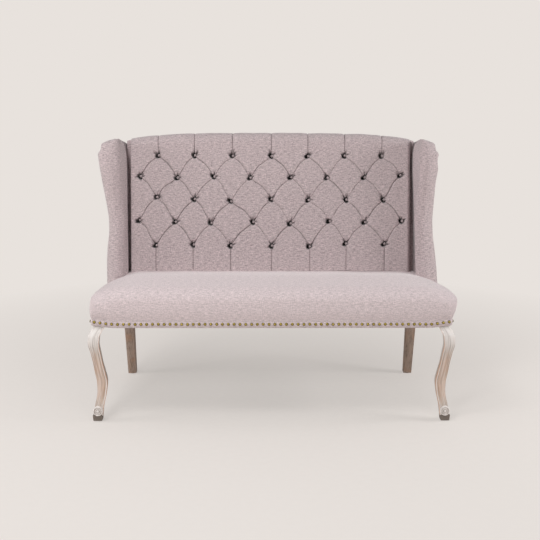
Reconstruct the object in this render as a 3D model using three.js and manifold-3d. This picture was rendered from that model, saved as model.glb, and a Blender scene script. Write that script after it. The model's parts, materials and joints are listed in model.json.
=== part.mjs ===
import * as THREE from 'three';
import { mergeVertices } from 'three/addons/utils/BufferGeometryUtils.js';
import Module from 'manifold-3d';

// High back settee, built the way an upholsterer builds it: a jointed hardwood frame with
// carved cabriole front legs and bandsawn rear posts, a webbed and padded seat with a
// nailed hem, two padded wings, and a reclined back with deep buttoning.
// Millimetres, +Z up, the front towards -Y. Sizes are taken from the seat's front face
// and from the floor, and the finished group is moved so that its origin is the middle
// of its footprint on the floor.

const wasm = await Module();
wasm.setup();

// Fits
const clearance = 0.3;
const overrun = 4;
const weldDistance = 0.002;

// Seat box
const seatFrontHalfWidth = 655;
const seatRearTaper = 27;
const seatDepth = 586;
const hemHeight = 356;
const hemCornerRise = 9;
const hemRiseRun = 90;
const seatPadThickness = 57;
const seatCrownRise = 11;
const seatRearFall = 25;
const seatCrownPlaceShare = 0.4;
const seatRollHeight = 31;
const seatRollDepth = 38;
const coverThickness = 5;
const hemBandHeight = 26;
const hemDrawIn = 4;
const hemCornerRadius = 8;
const shoulderCornerRadius = 18;
const smallestRadius = 2;
const topCornerRadius = 60;
const crownRoundShare = 0.8;

// Seat frame
const railThickness = 28;
const railHeight = 78;
const railLift = 6;
const centreRailWidth = 32;
const centreRailDrop = 6;
const tenonLength = 18;
const tenonThickness = 10;
const tenonHeight = 48;
const shortTenonShare = 0.6;
const sideTenonInsetShare = 1.1;
const cornerBlockReach = 78;
const cornerBlockHeight = 46;
const boltDiameter = 8;
const boltLength = 64;
const boltHeadWidth = 14;
const boltHeadHeight = 6;
const strapWidth = 50;
const strapThickness = 1.6;
const strapBite = 0.5;
const strapEndInset = 10;
const longStrapCount = 9;
const crossStrapCount = 3;
const dustCoverThickness = 1.2;
const dustCoverMargin = 16;
const dustCoverPostGap = 4;

// Front legs
const legFootSize = 33;
const legBlockSize = 44;
const footBlockHeight = 22;
const footBlockTaper = 2;
const scrollDiameter = 34;
const scrollProud = 2.5;
const scrollRim = 3.5;
const scrollGroove = 2;
const scrollBoss = 11;
const scrollBossTop = 7;
const glideThickness = 2.5;
const glideDiameter = 24;

// Rear posts
const postSideInset = 12;
const postWidth = 43;
const postFootWidth = 33;
const postFootDepth = 35;
const postFootRake = 54.8;

// Reclined back, measured in its own tilted frame from the line where it meets the seat
const backSeatInset = 116;
const recline = THREE.MathUtils.degToRad(9.3);
const backHeight = 564;
const backArchOverhang = 12;
const backArchFall = 83;
const backArchPower = 3.2;
const backPadDepth = 69.4;
const backFrameDepth = 35;
const hessianThickness = 2;
const backPadOverlap = 15;
const backPadTuck = 14;
const backRollRadius = 42;
const backRailFoot = 74;
const backRailTenonPlace = 57;
const backLipThickness = 28;
const bottomRailFoot = 16;
const bottomRailHeight = 60;
const stileWidth = 48;
const stileSpacingShare = 0.33;
const postTopDrop = 60;
const panelThickness = 4;
const panelSideInset = 8;
const panelTopDrop = 4;

// Buttoning
const buttonSideMargin = 63;
const buttonTopMargin = 91;
const firstButtonRow = 107;
const buttonRowCount = 5;
const widestRowCount = 8;
const tuftDepth = 34;
const pleatShare = 0.6;
const openPleatShare = 1.1;
const sidePadShare = 0.9;
const sidePadEase = 0.5;
const scallopShare = 0.2;
const cellsPerStep = 2;
const buttonDiameter = 19;
const buttonWall = 3;
const buttonDome = 3.5;
const sideRollWidth = 46;
const sideRollDepth = 32;
const padPocketDepth = 10.7;
const padPocketDrop = 42;

// Wings
const wingFootTuck = 25;
const wingTopDrop = 20.6;
const wingDomeHeight = 52;
const wingTopLean = 38;
const wingRidgeWidth = 7.7;
const wingRearWidth = 2;
const wingBackFaceShare = 0.7;
const wingDomeStartShare = 0.9;
const wingTopFall = 24;
const wingRollDepth = 46;
const wingFrontEasing = 34;
const wingPanelOverhang = 8;
const wingBoardInset = 29;
const wingBoardThickness = 20;
const wingBoardSetback = 34;
const wingBoardTopDrop = 42;
const wingBoltDiameter = 6;
const wingBoltLength = 70;
const wingBoltHeadWidth = 12;
const wingBoltHeadHeight = 4;
const wingBoltFootRise = 90;
const wingBoltSpacingShare = 0.53;

// Nails
const nailStripHeight = 15;
const nailStripThickness = 1.4;
const nailStripLift = 6;
const nailDiameter = 10;
const nailHeight = 3.6;
const nailPitch = 20.9;
const nailSides = 6;

// Keys of the wing's outline: share of the wing's height, then how far its outer and inner
// sides stand outside the line of the seat's rear corners, and how far it reaches forwards
const wingOuterKeys = [[0, 36], [0.12, 34], [0.42, 15], [0.86, 39], [1, 39]];
const wingInnerKeys = [[0, -51], [0.5, -61], [0.86, -67], [1, -67]];
const wingReachKeys = [[0, 88], [0.42, 82], [0.86, 118], [1, 118]];

// Keys of the cabriole leg: height share, swing outwards, swing forwards, half width
const legTopHalfWidth = 20.5;
const legTopSetback = 3;
const legBeadShare = 1.05;
const legKeys = [
  [0.0, 17, 1, 16.5],
  [0.14, 11.5, -2, 16.5],
  [0.41, -4.5, -9, 16.8],
  [0.62, 6, 2, 17.8],
  [0.82, 20, 15, 22],
  [0.94, 14.5, 11, 21.5],
  [1.0, 0, 0, legTopHalfWidth],
];

// Derived places
const railInset = hemDrawIn + coverThickness + clearance;
const railFoot = hemHeight + railLift;
const railTop = railFoot + railHeight;
const seatRearHalfWidth = seatFrontHalfWidth - seatRearTaper;
const seatFrontHeight = railTop + seatPadThickness;
const seatCrownHeight = seatFrontHeight + seatCrownRise;
const seatRearHeight = seatFrontHeight - seatRearFall;
const postOuterX = seatRearHalfWidth - postSideInset;
const postInnerX = postOuterX - postWidth;
const backSeatY = seatDepth - backSeatInset;
const backSeatZ = seatRearHeight;
const backRearDepth = backPadDepth + clearance + hessianThickness + clearance + backFrameDepth;
const backFrameFront = backRearDepth - backFrameDepth;
const postFrontY = backSeatY + backFrameFront * Math.cos(recline);
const postRearY = seatDepth - railInset;
const postFootRearY = postRearY + postFootRake;
const backArchHalfWidth = seatRearHalfWidth + backArchOverhang;
const backPadHalfWidth = postInnerX + backPadOverlap;
const panelHalfWidth = backArchHalfWidth - panelSideInset;
const stileSpacing = 2 * postInnerX * stileSpacingShare;
const buttonPitch = (2 * (backPadHalfWidth - buttonSideMargin)) / (widestRowCount - 1);
const buttonRowPitch = (backHeight - buttonTopMargin - firstButtonRow) / (buttonRowCount - 1);
const wingFootHeight = backSeatZ - wingFootTuck;
const wingTopHeight = backSeatZ + backHeight * Math.cos(recline) - wingTopDrop;
const wingTopX = seatRearHalfWidth - wingTopLean;
const wingPanelOuterX = seatRearHalfWidth + wingPanelOverhang;
const wingBoardInnerX = seatRearHalfWidth - wingBoardInset;
const backFrame = new THREE.Matrix4()
  .makeRotationX(-recline)
  .setPosition(0, backSeatY, backSeatZ);
const backFrameInverse = backFrame.clone().invert();
const legBlockFrontY = railInset;
const legBlockRearY = legBlockFrontY + legBlockSize;
const legBlockOuterX = seatHalfWidthAt(legBlockRearY) - railInset;
const legBlockInnerX = legBlockOuterX - legBlockSize;
const legTopCentreX = legBlockOuterX - legBeadShare * legTopHalfWidth;
const legTopCentreY = legBlockFrontY + legTopSetback + legBeadShare * legTopHalfWidth;
const legFoot = glideThickness + clearance;
const legTop = railFoot - clearance;

// Materials, one per finish
const finishes = {
  wood: { color: 0xb7a28d, roughness: 0.75, metalness: 0 },
  frameWood: { color: 0xcbb08a, roughness: 0.8, metalness: 0 },
  seatFabric: { color: 0xcfc2c1, roughness: 0.95, metalness: 0 },
  backFabric: { color: 0xb4a6a4, roughness: 0.95, metalness: 0 },
  foam: { color: 0xe8dfc8, roughness: 1, metalness: 0 },
  hessian: { color: 0xa98f66, roughness: 1, metalness: 0 },
  webbing: { color: 0x5b5148, roughness: 1, metalness: 0 },
  darkCloth: { color: 0x25221f, roughness: 1, metalness: 0 },
  brass: { color: 0x8f7a3c, roughness: 0.4, metalness: 1 },
  steel: { color: 0x9aa0a4, roughness: 0.4, metalness: 1 },
  nylon: { color: 0x1d1c1b, roughness: 0.6, metalness: 0 },
};

const settee = new THREE.Group();
const back = new THREE.Group();
back.applyMatrix4(backFrame);
settee.add(back);

function addPiece(name, geometry, finish, parent = settee) {
  const piece = new THREE.Mesh(geometry, new THREE.MeshStandardMaterial(finishes[finish]));
  piece.name = name;
  parent.add(piece);
  return piece;
}

// Solids

// Leaves out the triangles that a lathe folds flat where its profile meets the axis
function withoutSlivers(index) {
  const kept = [];
  for (let i = 0; i < index.length; i += 3) {
    const [a, b, c] = index.slice(i, i + 3);
    if (a !== b && b !== c && c !== a) kept.push(a, b, c);
  }
  return kept;
}

function toSolid(geometry) {
  const bare = new THREE.BufferGeometry();
  bare.setAttribute('position', geometry.getAttribute('position'));
  bare.setIndex(geometry.getIndex());
  const merged = mergeVertices(bare, weldDistance);
  const vertProperties = Float32Array.from(merged.getAttribute('position').array);
  const triVerts = Uint32Array.from(withoutSlivers(merged.getIndex().array));
  return new wasm.Manifold(new wasm.Mesh({ numProp: 3, vertProperties, triVerts }));
}

function toGeometry(solid) {
  const { vertProperties, triVerts } = solid.getMesh();
  const geometry = new THREE.BufferGeometry();
  geometry.setAttribute('position', new THREE.BufferAttribute(vertProperties, 3));
  geometry.setIndex(new THREE.BufferAttribute(triVerts, 1));
  return geometry;
}

function cut(geometry, ...cutters) {
  let solid = toSolid(geometry);
  for (const cutter of cutters) solid = solid.subtract(toSolid(cutter));
  return toGeometry(solid);
}

function join(geometry, ...others) {
  let solid = toSolid(geometry);
  for (const other of others) solid = solid.add(toSolid(other));
  return toGeometry(solid);
}

function meet(geometry, other) {
  return toGeometry(toSolid(geometry).intersect(toSolid(other)));
}

function boxBetween(x0, x1, y0, y1, z0, z1) {
  const box = new THREE.BoxGeometry(x1 - x0, y1 - y0, z1 - z0);
  return box.translate((x0 + x1) / 2, (y0 + y1) / 2, (z0 + z1) / 2);
}

function extruded(points, depth, curveSegments = 12) {
  const shape = Array.isArray(points) ? new THREE.Shape(points) : points;
  return new THREE.ExtrudeGeometry(shape, { depth, bevelEnabled: false, curveSegments });
}

// A prism of an outline in X and Y, standing from z0 to z1
function prismZ(points, z0, z1) {
  return extruded(points, z1 - z0).translate(0, 0, z0);
}

// A prism of an outline in X and Z, running from y0 back to y1
function prismY(points, y0, y1) {
  return extruded(points, y1 - y0).rotateX(Math.PI / 2).translate(0, y1, 0);
}

// A prism of an outline in Y and Z, running from x0 to x1
function prismX(points, x0, x1) {
  const turn = new THREE.Matrix4().set(0, 0, 1, 0, 1, 0, 0, 0, 0, 1, 0, 0, 0, 0, 0, 1);
  return extruded(points, x1 - x0).applyMatrix4(turn).translate(x0, 0, 0);
}

// A rod from one point to another, with any number of sides
function rod(from, to, diameter, sides = 10) {
  const axis = to.clone().sub(from);
  const geometry = new THREE.CylinderGeometry(diameter / 2, diameter / 2, axis.length(), sides);
  const up = new THREE.Vector3(0, 1, 0);
  geometry.applyQuaternion(new THREE.Quaternion().setFromUnitVectors(up, axis.clone().normalize()));
  const middle = from.clone().add(to).multiplyScalar(0.5);
  return geometry.translate(middle.x, middle.y, middle.z);
}

// A closed skin over rings of points that run anticlockwise seen from above
function loft(rings) {
  const corners = [];
  const count = rings[0].length;
  for (let level = 1; level < rings.length; level += 1) {
    const low = rings[level - 1];
    const high = rings[level];
    for (let i = 0; i < count; i += 1) {
      const next = (i + 1) % count;
      corners.push(low[i], low[next], high[next], low[i], high[next], high[i]);
    }
  }
  const flat = (ring) => ring.map((point) => new THREE.Vector2(point.x, point.y));
  const first = rings[0];
  const last = rings[rings.length - 1];
  for (const [a, b, c] of THREE.ShapeUtils.triangulateShape(flat(first), [])) {
    corners.push(first[a], first[c], first[b]);
  }
  for (const [a, b, c] of THREE.ShapeUtils.triangulateShape(flat(last), [])) {
    corners.push(last[a], last[b], last[c]);
  }
  return new THREE.BufferGeometry().setFromPoints(corners);
}

function mirrored(geometry) {
  const copy = geometry.index ? geometry.toNonIndexed() : geometry.clone();
  const place = copy.getAttribute('position');
  for (let i = 0; i < place.count; i += 3) {
    const [ax, ay, az] = [place.getX(i), place.getY(i), place.getZ(i)];
    const [bx, by, bz] = [place.getX(i + 1), place.getY(i + 1), place.getZ(i + 1)];
    const [cx, cy, cz] = [place.getX(i + 2), place.getY(i + 2), place.getZ(i + 2)];
    place.setXYZ(i, -ax, ay, az);
    place.setXYZ(i + 1, -cx, cy, cz);
    place.setXYZ(i + 2, -bx, by, bz);
  }
  return copy;
}

// Adds a piece modelled on the right (+X) and its mirror image on the left
function addPair(name, geometry, finish) {
  addPiece(`${name}_right`, geometry, finish);
  addPiece(`${name}_left`, mirrored(geometry), finish);
}

// Reads a size from keys of [share, size], easing from each key to the next
function sizeAt(keys, share) {
  let upper = 1;
  while (upper < keys.length - 1 && share > keys[upper][0]) upper += 1;
  const [startShare, startSize] = keys[upper - 1];
  const [endShare, endSize] = keys[upper];
  const ease = THREE.MathUtils.smoothstep(share, startShare, endShare);
  return THREE.MathUtils.lerp(startSize, endSize, ease);
}

// Seat form

function seatHalfWidthAt(y) {
  return THREE.MathUtils.lerp(seatFrontHalfWidth, seatRearHalfWidth, y / seatDepth);
}

function seatTopAt(y) {
  const keys = [[0, seatFrontHeight], [seatCrownPlaceShare, seatCrownHeight], [1, seatRearHeight]];
  return sizeAt(keys, y / backSeatY);
}

function hemRiseAt(x, y) {
  const side = seatHalfWidthAt(y);
  const across = THREE.MathUtils.smoothstep(Math.abs(x), side - hemRiseRun, side);
  const along = 1 - THREE.MathUtils.smoothstep(y, 0, hemRiseRun);
  return hemCornerRise * across * along;
}

// Plan outline of the seat, drawn in by an inset, with its corners rounded
function seatOutline(inset, radius) {
  const cornerSteps = 4;
  const frontSteps = 12;
  const sideSteps = 6;
  const y0 = inset;
  const y1 = seatDepth - inset;
  const front = seatHalfWidthAt(y0 + radius) - inset;
  const rear = seatHalfWidthAt(y1 - radius) - inset;
  const outline = [];
  const corners = [
    [front - radius, y0 + radius, sideSteps],
    [rear - radius, y1 - radius, frontSteps],
    [radius - rear, y1 - radius, sideSteps],
    [radius - front, y0 + radius, frontSteps],
  ];
  corners.forEach(([cx, cy, steps], index) => {
    for (let step = 0; step <= cornerSteps; step += 1) {
      const angle = (Math.PI / 2) * (index - 1 + step / cornerSteps);
      outline.push(new THREE.Vector2(cx + radius * Math.cos(angle), cy + radius * Math.sin(angle)));
    }
    const [nx, ny] = corners[(index + 1) % corners.length];
    const turn = (Math.PI / 2) * index;
    const end = new THREE.Vector2(nx + radius * Math.cos(turn), ny + radius * Math.sin(turn));
    const start = outline[outline.length - 1];
    for (let step = 1; step < steps; step += 1) {
      outline.push(start.clone().lerp(end, step / steps));
    }
  });
  return outline;
}

function seatRing(inset, radius, heightAt) {
  return seatOutline(inset, radius).map(({ x, y }) => new THREE.Vector3(x, y, heightAt(x, y)));
}

// Rings of the seat's skin from the hem to the crown, drawn in by a wall thickness
function seatRings(wall, footAt) {
  const rollSteps = 3;
  const topInsetShares = [0.2, 0.34, 0.44];
  const shoulderAt = (x, y) => seatTopAt(y) - seatRollHeight;
  const bandAt = (x, y) => hemHeight + hemBandHeight + hemRiseAt(x, y);
  const hemRadius = Math.max(hemCornerRadius - wall, smallestRadius);
  const shoulderRadius = Math.max(shoulderCornerRadius - wall, smallestRadius);
  const rings = [
    seatRing(wall + hemDrawIn, hemRadius, footAt),
    seatRing(wall + hemDrawIn, hemRadius, bandAt),
    seatRing(wall, shoulderRadius, (x, y) => (bandAt(x, y) + shoulderAt(x, y)) / 2),
    seatRing(wall, shoulderRadius, shoulderAt),
  ];
  for (let step = 1; step <= rollSteps; step += 1) {
    const angle = (Math.PI / 2) * (step / rollSteps);
    const inset = wall + seatRollDepth * (1 - Math.cos(angle));
    const rise = (seatRollHeight - wall) * Math.sin(angle);
    const radius = THREE.MathUtils.lerp(shoulderRadius, topCornerRadius, step / rollSteps);
    rings.push(seatRing(inset, radius, (x, y) => shoulderAt(x, y) + rise));
  }
  for (const share of topInsetShares) {
    const inset = share * seatDepth;
    const radius = Math.min(topCornerRadius, (seatDepth / 2 - inset) * crownRoundShare);
    rings.push(seatRing(inset, radius, (x, y) => seatTopAt(y) - wall));
  }
  return rings;
}

// The solid that the seat fills, grown a little where it serves as a cutter
function seatSolid(wall, foot) {
  return loft(seatRings(wall, foot));
}

// Seat frame

function tenon(x0, x1, y0, y1, grow = 0) {
  const middle = (railFoot + railTop) / 2;
  const low = middle - tenonHeight / 2 - grow;
  return boxBetween(x0 - grow, x1 + grow, y0 - grow, y1 + grow, low, low + tenonHeight + 2 * grow);
}

function sideRailOuterX(y) {
  return seatHalfWidthAt(y) - railInset;
}

const frontRailMiddleY = railInset + railThickness / 2;
const rearRailFrontY = postRearY - railThickness;
const rearRailMiddleY = rearRailFrontY + railThickness / 2;
const sideTenonX = postOuterX - tenonThickness * sideTenonInsetShare;
const frontSideTenonX = legBlockOuterX - railThickness / 2;

function frontRailTenon(grow) {
  const start = legBlockInnerX - clearance - overrun;
  const end = legBlockInnerX - clearance + tenonLength;
  const half = tenonThickness / 2;
  return tenon(start, end, frontRailMiddleY - half, frontRailMiddleY + half, grow);
}

function rearRailTenon(grow) {
  const start = postInnerX - clearance - overrun;
  const end = postInnerX - clearance + tenonLength;
  const half = tenonThickness / 2;
  return tenon(start, end, rearRailMiddleY - half, rearRailMiddleY + half, grow);
}

function sideRailFrontTenon(grow) {
  const start = legBlockRearY + clearance - tenonLength;
  const half = tenonThickness / 2;
  return tenon(frontSideTenonX - half, frontSideTenonX + half, start, legBlockRearY + overrun, grow);
}

function sideRailRearTenon(grow) {
  const end = postFrontY - clearance + tenonLength;
  const half = tenonThickness / 2;
  return tenon(sideTenonX - half, sideTenonX + half, postFrontY - overrun, end, grow);
}

function centreRailTenons(grow) {
  const half = tenonThickness / 2;
  const frontEnd = railInset + railThickness + clearance;
  const rearEnd = rearRailFrontY - clearance;
  const depth = tenonLength * shortTenonShare;
  return [
    tenon(-half, half, frontEnd - depth, frontEnd + overrun, grow),
    tenon(-half, half, rearEnd - overrun, rearEnd + depth, grow),
  ];
}

function addSeatFrame() {
  const frontEndX = legBlockInnerX - clearance;
  const rearEndX = postInnerX - clearance;
  const railBack = railInset + railThickness;
  let front = boxBetween(-frontEndX, frontEndX, railInset, railBack, railFoot, railTop);
  front = join(front, frontRailTenon(0), mirrored(frontRailTenon(0)));
  let rear = boxBetween(-rearEndX, rearEndX, rearRailFrontY, postRearY, railFoot, railTop);
  rear = join(rear, rearRailTenon(0), mirrored(rearRailTenon(0)));
  const [frontMortise, rearMortise] = centreRailTenons(clearance);
  addPiece('front_seat_rail', cut(front, frontMortise), 'frameWood');
  addPiece('rear_seat_rail', cut(rear, rearMortise), 'frameWood');

  const y0 = legBlockRearY + clearance;
  const y1 = postFrontY - clearance;
  const plan = [
    new THREE.Vector2(sideRailOuterX(y0) - railThickness, y0),
    new THREE.Vector2(sideRailOuterX(y0), y0),
    new THREE.Vector2(sideRailOuterX(y1), y1),
    new THREE.Vector2(sideRailOuterX(y1) - railThickness, y1),
  ];
  const side = join(prismZ(plan, railFoot, railTop), sideRailFrontTenon(0), sideRailRearTenon(0));
  addPair('side_seat_rail', side, 'frameWood');

  const half = centreRailWidth / 2;
  const start = railBack + clearance;
  const end = rearRailFrontY - clearance;
  const centre = boxBetween(-half, half, start, end, railFoot, railTop - centreRailDrop);
  addPiece('centre_seat_rail', join(centre, ...centreRailTenons(0)), 'frameWood');
}

// Corner blocks with their bolts. Each block is a triangle in plan, notched round the
// leg or post that stands in its corner, and its bolt runs square to its long face.
const boltZ = (railFoot + railTop) / 2;

function addCorner(name, notch, faces, towardsRear) {
  const sign = towardsRear ? -1 : 1;
  const sideAt = (y) => sideRailOuterX(y) - railThickness - clearance;
  const farY = notch.y + sign * cornerBlockReach;
  const farX = notch.x - cornerBlockReach;
  const plan = [
    new THREE.Vector2(farX, faces.y),
    new THREE.Vector2(notch.x, faces.y),
    new THREE.Vector2(notch.x, notch.y),
    new THREE.Vector2(sideAt(notch.y), notch.y),
    new THREE.Vector2(sideAt(farY), farY),
  ];
  const low = boltZ - cornerBlockHeight / 2;
  const block = prismZ(plan, low, low + cornerBlockHeight);
  const middle = new THREE.Vector3((farX + sideAt(farY)) / 2, (faces.y + farY) / 2, boltZ);
  const inwards = new THREE.Vector3(farY - faces.y, farX - sideAt(farY), 0).normalize();
  if (inwards.x < 0) inwards.negate();
  const headSeat = middle.clone().addScaledVector(inwards, -clearance);
  const headEnd = headSeat.clone().addScaledVector(inwards, -boltHeadHeight);
  const tip = headSeat.clone().addScaledVector(inwards, boltLength);
  const shank = rod(headSeat.clone().addScaledVector(inwards, -boltHeadHeight / 2), tip, boltDiameter);
  const head = rod(headEnd, headSeat, boltHeadWidth, 6);
  const bore = rod(
    headSeat.clone().addScaledVector(inwards, -overrun),
    tip.clone().addScaledVector(inwards, clearance),
    boltDiameter + 2 * clearance,
  );
  addPair(`corner_block_${name}`, cut(block, bore), 'frameWood');
  addPair(`corner_bolt_${name}`, join(head, shank), 'steel');
  return bore;
}

const frontNotch = new THREE.Vector2(legBlockInnerX - clearance, legBlockRearY + clearance);
const rearNotch = new THREE.Vector2(postInnerX - clearance, postFrontY - clearance);
const frontBore = addCorner('front', frontNotch, { y: railInset + railThickness + clearance }, false);
const rearBore = addCorner('rear', rearNotch, { y: rearRailFrontY - clearance }, true);

// Front legs

// Half of the leg's section, from the beaded inner edge of the front face to the rounded
// outer arris, in shares of the half width; the side face repeats it across the diagonal
const legSectionShares = [
  [-1.0, 0.84], [-0.98, 1.03], [-0.78, legBeadShare], [-0.7, 0.92], [-0.55, 0.98], [0.4, 1.0], [0.78, 0.92],
];
const legArrisShares = [0.9, 0.9];
const legHeelShares = [[0.2, -0.94], [-0.86, -0.86], [-0.94, 0.2]];

function legSection() {
  const sideFaceShares = legSectionShares.map(([u, v]) => [v, u]).reverse();
  const shares = [...legSectionShares, legArrisShares, ...sideFaceShares, ...legHeelShares];
  return shares.map(([u, v]) => new THREE.Vector2(u, v));
}

function legLoft() {
  const rings = [];
  const ringCount = 18;
  const height = legTop - legFoot;
  const asPoint = ([share, , , half]) => new THREE.Vector3(0, half, share * height);
  const asSwing = ([, outwards, forwards]) => new THREE.Vector3(outwards, forwards, 0);
  const sizes = new THREE.CatmullRomCurve3(legKeys.map(asPoint));
  const swings = new THREE.CatmullRomCurve3(legKeys.map(asSwing));
  const section = legSection();
  for (let i = 0; i <= ringCount; i += 1) {
    const size = sizes.getPoint(i / ringCount);
    const swing = swings.getPoint(i / ringCount);
    const ring = section.map(({ x, y }) => new THREE.Vector3(
      legTopCentreX + swing.x + x * size.y,
      legTopCentreY - swing.y - y * size.y,
      legFoot + size.z,
    ));
    rings.push(ring);
  }
  return loft(rings);
}

// The scroll at the foot: a round whorl with a rim, a sunk ring and a centre boss
function legScroll(centreX, centreY, centreZ, reach) {
  const radius = scrollDiameter / 2;
  const proud = reach + scrollProud;
  const profile = [
    new THREE.Vector2(0, -reach),
    new THREE.Vector2(radius, -reach),
    new THREE.Vector2(radius, proud - scrollRim / 2),
    new THREE.Vector2(radius - scrollRim / 2, proud),
    new THREE.Vector2(radius - scrollRim, proud),
    new THREE.Vector2(radius - scrollRim, proud - scrollGroove),
    new THREE.Vector2(scrollBoss / 2, proud - scrollGroove),
    new THREE.Vector2(scrollBossTop / 2, proud),
    new THREE.Vector2(0, proud),
  ];
  const disc = new THREE.LatheGeometry(profile, 16);
  return disc.rotateX(Math.PI).rotateX(-Math.PI / 2).translate(centreX, centreY, centreZ);
}

function addFrontLegs() {
  const [, footOut, footForward] = legKeys[0];
  const footX = legTopCentreX + footOut;
  const footY = legTopCentreY - footForward;
  const half = legFootSize / 2;
  const block = boxBetween(
    legBlockInnerX, legBlockOuterX, legBlockFrontY, legBlockRearY, legTop - clearance, railTop,
  );
  const square = (size, z) => [[-1, -1], [1, -1], [1, 1], [-1, 1]].map(
    ([u, v]) => new THREE.Vector3(footX + u * size, footY + v * size, z),
  );
  const footTop = legFoot + footBlockHeight;
  const foot = loft([square(half - footBlockTaper, legFoot), square(half + footBlockTaper / 2, footTop)]);
  const scroll = legScroll(footX, footY, footTop + scrollDiameter / 2, half);
  const insideCover = seatSolid(coverThickness + clearance, () => hemHeight);
  const leg = join(legLoft(), meet(block, insideCover), foot, scroll);
  const fitted = cut(leg, frontBore, frontRailTenon(clearance), sideRailFrontTenon(clearance));
  addPair('front_leg', fitted, 'wood');
  const glide = new THREE.CylinderGeometry(glideDiameter / 2, glideDiameter / 2, glideThickness, 16);
  glide.rotateX(Math.PI / 2).translate(footX, footY, glideThickness / 2);
  addPair('glide_front', glide, 'nylon');
}

// Rear posts: one bandsawn piece from the raked foot to the top of the back

function inSeatFrame(depth, height) {
  const point = new THREE.Vector3(0, depth, height).applyMatrix4(backFrame);
  return new THREE.Vector2(point.y, point.z);
}

const postTop = backHeight - backLipThickness - postTopDrop;

function addRearPosts() {
  const elbow = inSeatFrame(backRearDepth, 0);
  const outline = [
    new THREE.Vector2(postFrontY, railFoot),
    new THREE.Vector2(postRearY, railFoot),
    new THREE.Vector2(postRearY, railTop),
    elbow,
    inSeatFrame(backRearDepth, postTop),
    inSeatFrame(backFrameFront, postTop),
    inSeatFrame(backFrameFront, 0),
  ];
  const upper = prismX(outline, postInnerX, postOuterX);
  const footFrontY = postFootRearY - postFootDepth;
  const rectangle = (x1, y0, y1, z) => [
    new THREE.Vector3(postInnerX, y0, z),
    new THREE.Vector3(x1, y0, z),
    new THREE.Vector3(x1, y1, z),
    new THREE.Vector3(postInnerX, y1, z),
  ];
  const lower = loft([
    rectangle(postInnerX + postFootWidth, footFrontY, postFootRearY, legFoot),
    rectangle(postOuterX, postFrontY, postRearY, hemHeight - clearance),
    rectangle(postOuterX, postFrontY, postRearY, railFoot + overrun),
  ]);
  const mortises = [rearRailTenon(clearance), sideRailRearTenon(clearance), rearBore];
  for (const board of backRailTenons(clearance)) mortises.push(board.applyMatrix4(backFrame));
  for (const bolt of wingBolts()) mortises.push(bolt.bore);
  addPair('rear_post', cut(join(upper, lower), ...mortises), 'wood');
  const glide = new THREE.CylinderGeometry(glideDiameter / 2, glideDiameter / 2, glideThickness, 16);
  const footX = postInnerX + postFootWidth / 2;
  const footY = postFootRearY - postFootDepth / 2;
  glide.rotateX(Math.PI / 2).translate(footX, footY, glideThickness / 2);
  addPair('glide_rear', glide, 'nylon');
}

// Back frame, in the tilted frame: X across, Y its depth, Z up along the back

// The arch is a superellipse, drawn with straight steps that every board under it shares
const archSteps = 24;
const archStations = Array.from({ length: archSteps + 1 }, (unused, step) => {
  const x = backArchHalfWidth * Math.cos((Math.PI * step) / archSteps);
  const share = Math.abs(x) / backArchHalfWidth;
  const fall = 1 - Math.max(0, 1 - share ** backArchPower) ** (1 / backArchPower);
  return new THREE.Vector2(x, backHeight - backArchFall * fall);
});

function archAt(x) {
  const after = Math.max(1, archStations.findIndex((station) => station.x <= x));
  const [right, left] = [archStations[after - 1], archStations[after]];
  return THREE.MathUtils.mapLinear(x, left.x, right.x, left.y, right.y);
}

// Outline under the arch, from a flat foot up to the arch lowered by a drop
function archOutline(halfWidth, foot, drop) {
  const inside = archStations.filter(({ x }) => Math.abs(x) < halfWidth - overrun);
  const top = [halfWidth, ...inside.map(({ x }) => x), -halfWidth];
  const points = [new THREE.Vector2(-halfWidth, foot), new THREE.Vector2(halfWidth, foot)];
  for (const x of top) points.push(new THREE.Vector2(x, archAt(x) - drop));
  return points;
}

function backRailTenons(grow) {
  const half = tenonThickness / 2;
  const y = backFrameFront + backFrameDepth / 2;
  const start = postInnerX - clearance - overrun;
  const end = postInnerX - clearance + tenonLength;
  const topZ = archAt(postInnerX) - backLipThickness - backRailTenonPlace;
  const lowZ = bottomRailFoot + bottomRailHeight / 2;
  return [topZ, lowZ].map((z) => boxBetween(
    start - grow, end + grow, y - half - grow, y + half + grow,
    z - tenonThickness - grow, z + tenonThickness + grow,
  ));
}

function addBackFrame() {
  const railEndX = postInnerX - clearance;
  const y0 = backFrameFront;
  const y1 = backRearDepth;
  const topFoot = archAt(postInnerX) - backLipThickness - backRailFoot;
  const [topTenon, lowTenon] = backRailTenons(0);
  const top = prismY(archOutline(railEndX, topFoot, backLipThickness), y0, y1);
  addPiece('back_top_rail', join(top, topTenon, mirrored(topTenon)), 'frameWood', back);
  const bottomTop = bottomRailFoot + bottomRailHeight;
  const bottom = boxBetween(-railEndX, railEndX, y0, y1, bottomRailFoot, bottomTop);
  addPiece('back_bottom_rail', join(bottom, lowTenon, mirrored(lowTenon)), 'frameWood', back);
  for (const [side, sign] of [['left', -1], ['right', 1]]) {
    const centre = (sign * stileSpacing) / 2;
    const stile = boxBetween(
      centre - stileWidth / 2, centre + stileWidth / 2, y0, y1, bottomTop + clearance, topFoot - clearance,
    );
    addPiece(`back_stile_${side}`, stile, 'frameWood', back);
  }
  const hessianFront = backPadDepth + clearance;
  const hessian = prismY(
    archOutline(postInnerX, bottomRailFoot, backLipThickness + panelTopDrop),
    hessianFront, hessianFront + hessianThickness,
  );
  addPiece('back_hessian', hessian, 'hessian', back);
  const panelFront = backRearDepth + clearance;
  const panel = prismY(
    archOutline(panelHalfWidth, panelTopDrop, panelTopDrop), panelFront, panelFront + panelThickness,
  );
  addPiece('outside_back_panel', panel, 'backFabric', back);
}

// Buttoned cushion, in the tilted frame

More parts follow.
